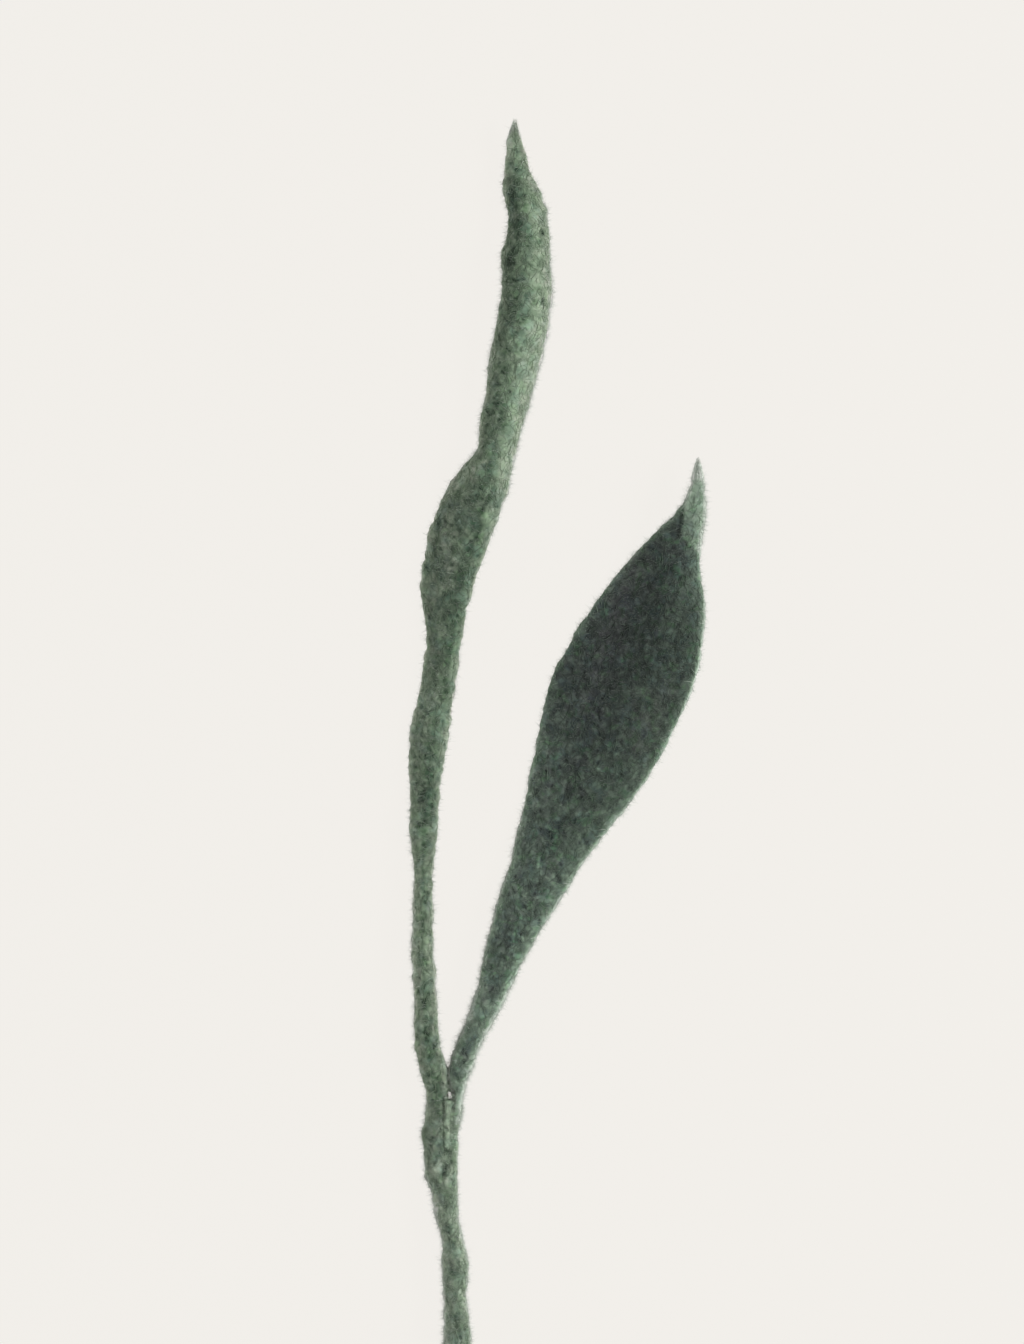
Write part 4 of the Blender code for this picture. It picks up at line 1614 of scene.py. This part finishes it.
def naps_for(
    piece: str, matted: int, fuzz: int, seed: int, tuft: tuple[Nap, ...] = ()
) -> tuple[Nap, ...]:
    """List the layers of loose wool that a felted piece has.

    Args:
        piece: What the layers' names start with.
        matted: How many matted fibres it has; there are an eighth as many wisps.
        fuzz: How many fibres stand off it.
        seed: Picks the fibres' places.
        tuft: The layer at one of its ends.

    Returns:
        The matted fibres, the wisps, the fuzz and the tuft.
    """
    return (
        Nap(
            f"{piece}_matted_wool", Lie.MATTED, matted, 6, (1.6, 4.6), (0.030, 0.060),
            0.08, 0.08, (0.00, 0.07), seed=seed,
        ),
        Nap(
            f"{piece}_wisps", Lie.MATTED, matted // 8, 9, (2.5, 6.5), (0.045, 0.080),
            0.10, 0.08, (0.00, 0.04), seed=seed + 3,
        ),
        Nap(
            f"{piece}_fuzz", Lie.STANDING, fuzz, 3, (0.50, 1.50), (0.022, 0.036),
            0.40, 0.10, seed=seed + 1,
        ),
    ) + tuft


def tip_tuft(piece: str, seed: int) -> Nap:
    """The wisp that a blade's tip is drawn out to."""
    return Nap(
        f"{piece}_tip_wisp", Lie.TUFT, 260, 5, (-1.2, 1.3), (0.022, 0.040), 0.40, 0.10,
        gather=0.85, seed=seed,
    )


TALL = FeltedPiece(
    name="tall_leaf_felt",
    node="tall_leaf",
    loft=Loft(TALL_TUCK + TALL_LEAF, RING_STEP, TALL_SIDES),
    wool=SAGE_WOOL,
    shades=TALL_SHADES,
    marks=TALL_MARKS,
    lumps=(Lumps(0.35, 4.0, 11), Lumps(0.32, 1.6, 12), Lumps(0.18, 0.8, 13)),
    naps=naps_for("tall_leaf", 5600, 13500, 100, (tip_tuft("tall_leaf", 102),)),
    strips=4,
    smooth_end=(-9.0, 3.0),
    turn=0.30,
    rim_light_widths=(0.65, 0.25),
    left_mauve=0.50,
    right_mauve=0.60,
    pit_shade=0.21,
    pit_seed=20,
)
BROAD = FeltedPiece(
    name="broad_leaf_felt",
    node="broad_leaf",
    loft=Loft(BROAD_TUCK + BROAD_LEAF, RING_STEP, 220),
    wool=DARK_AND_SHADED_WOOL,
    shades=BROAD_SHADES,
    marks=BROAD_MARKS,
    lumps=(Lumps(0.32, 5.0, 31), Lumps(0.28, 1.7, 32), Lumps(0.17, 0.8, 33)),
    naps=naps_for("broad_leaf", 6000, 13500, 200, (tip_tuft("broad_leaf", 202),)),
    strips=2,
    smooth_end=(-9.0, 3.0),
    rim_light_widths=(0.85, 0.90),
    rim_light_tone=0.50,
    left_mauve=0.12,
    right_mauve=-0.20,
    pit_shade=0.13,
    pit_seed=40,
)
STEM_PIECE = FeltedPiece(
    name="stem_felt",
    node="stem",
    loft=ForkedLoft(STEM, 0.35, 120, 1.0, lobes=STEM_LOBES),
    wool=STEM_WOOL,
    shades=STEM_SHADES,
    marks=STEM_MARKS,
    lumps=(Lumps(0.40, 3.6, 51), Lumps(0.34, 1.7, 52), Lumps(0.18, 0.8, 53)),
    naps=naps_for(
        "stem", 4600, 11000, 300,
        (
            Nap(
                "stem_frayed_end", Lie.TUFT, 420, 4, (0.1, 1.1), (0.022, 0.040), 0.30,
                gather=0.1, rooted=2.2, at_start=True, seed=302,
            ),
        ),
    ),
    strips=4,
    smooth_end=(-3.5, -9.0),
    pit_shade=0.18,
    pit_seed=60,
)


@dataclass(frozen=True)
class Studio:
    """The table, the light and the camera, all sizes in metres."""

    paper: Colour = (0.887, 0.863, 0.823, 1.0)
    paper_glow: float = 0.980                      # share of the paper's brightness no shadow takes
    table_side: float = 6.0
    camera_lens: float = 100.0                     # millimetres
    sensor: float = 36.0                           # millimetres
    view_height: float = 0.3091                    # of what the camera sees
    aim: tuple[float, float] = (0.01472, 0.09495)  # from the fork
    felt_height: float = 0.004
    dome: float = 0.44
    dome_colour: Colour = (1.0, 0.99, 0.97, 1.0)
    key: float = 1.45
    key_rise: float = 38.0                         # degrees
    fill: float = 0.55
    fill_rise: float = 12.0                        # degrees
    lamp_distance: float = 1.2
    lamp_size: float = 0.5
    lamp_along: float = 0.06                       # of both lamps, up the stem

    def build(self) -> None:
        """Set up everything round the object."""
        self.table()
        self.light()
        self.camera()

    def table(self) -> None:
        """Lay a pale sheet that keeps most of its colour in shadow.

        Its paper glows by itself with most of its brightness, and the lamps and the dome
        together light the rest of it.
        """
        half = self.table_side / 2
        corners = [(-half, -half, 0), (half, -half, 0), (half, half, 0), (-half, half, 0)]
        mesh = bpy.data.meshes.new("table")
        mesh.from_pydata(corners, [], [(0, 1, 2, 3)])
        table = bpy.data.objects.new("table", mesh)
        bpy.context.scene.collection.objects.link(table)
        finish = Finish("pale_paper")
        light = (
            self.dome
            + self.key * math.sin(math.radians(self.key_rise))
            + self.fill * math.sin(math.radians(self.fill_rise))
        )
        matt = (1.0 - self.paper_glow) / light
        look = {
            "Base Color": tuple(c * matt for c in self.paper[:3]) + (1.0,),
            "Roughness": 1.0,
            "Specular IOR Level": 0.0,
            "Emission Color": self.paper,
            "Emission Strength": self.paper_glow,
        }
        finish.feed(finish.shader, look)
        mesh.materials.append(finish.material)

    def light(self) -> None:
        """A soft key light on the right, a low fill light on the left and an even dome.

        Where the dome itself is seen, past the table's far side, it looks like the table's paper.
        """
        self.lamp("key_light", self.key, self.key_rise, 1.0)
        self.lamp("fill_light", self.fill, self.fill_rise, -1.0)
        world = bpy.data.worlds.new("dome")
        world.use_nodes = True
        sketch = Sketch(world.node_tree)
        glow = world.node_tree.nodes["Background"]
        sketch.feed(glow, {"Color": self.dome_colour, "Strength": self.dome})
        backdrop = sketch.add("ShaderNodeBackground", {"Color": self.paper})
        seen = sketch.add("ShaderNodeLightPath").outputs["Is Camera Ray"]
        both = {0: seen, 1: glow.outputs[0], 2: backdrop.outputs[0]}
        mixed = sketch.add("ShaderNodeMixShader", both).outputs[0]
        sketch.feed(world.node_tree.nodes["World Output"], {"Surface": mixed})
        bpy.context.scene.world = world
        bpy.context.scene.view_settings.view_transform = "Standard"

    def lamp(self, name: str, strength: float, rise: float, side: float) -> None:
        """A round lamp that faces the object.

        Args:
            name: The lamp's name.
            strength: How bright it makes a white sheet that faces it.
            rise: Its height over the table as an angle, in degrees.
            side: 1 on the right, -1 on the left.
        """
        lamp = bpy.data.lights.new(name, "AREA")
        lamp.shape = "DISK"
        lamp.size = self.lamp_size
        lamp.energy = strength * math.pi * math.pi * self.lamp_distance**2
        holder = bpy.data.objects.new(name, lamp)
        bpy.context.scene.collection.objects.link(holder)
        angle = math.radians(rise)
        out = side * self.lamp_distance * math.cos(angle)
        holder.location = (out, self.lamp_along, self.lamp_distance * math.sin(angle))
        holder.rotation_euler = (0.0, side * (math.pi / 2 - angle), 0.0)

    def camera(self) -> None:
        """A long lens straight above the stem."""
        lens = bpy.data.cameras.new("camera")
        lens.lens = self.camera_lens
        lens.sensor_width = self.sensor
        camera = bpy.data.objects.new("camera", lens)
        bpy.context.scene.collection.objects.link(camera)
        x, y = FORK[0] * MM + self.aim[0], FORK[1] * MM + self.aim[1]
        rise = self.view_height * self.camera_lens / self.sensor
        camera.location = (x, y, rise + self.felt_height)
        bpy.context.scene.camera = camera


def report(pieces: list[bpy.types.Object]) -> None:
    """Log each piece's name and how many faces it has."""
    for piece in pieces:
        log.info("%s: %d faces", piece.name, len(piece.data.polygons))


def main() -> None:
    """Build the studio, the felted pieces, the groove's wool and the wires, in that order."""
    logging.basicConfig(level=logging.INFO, format="%(name)s: %(message)s")
    log.info("fork at %s mm", FORK.round(2))
    Studio().build()
    patterns = WoolPatterns()
    for piece in (TALL, BROAD, STEM_PIECE):
        report(piece.build(patterns))
    report([GrooveWool().build(STEM_WOOL)])
    report(Armature().build())
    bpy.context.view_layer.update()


if __name__ == "__main__":
    main()
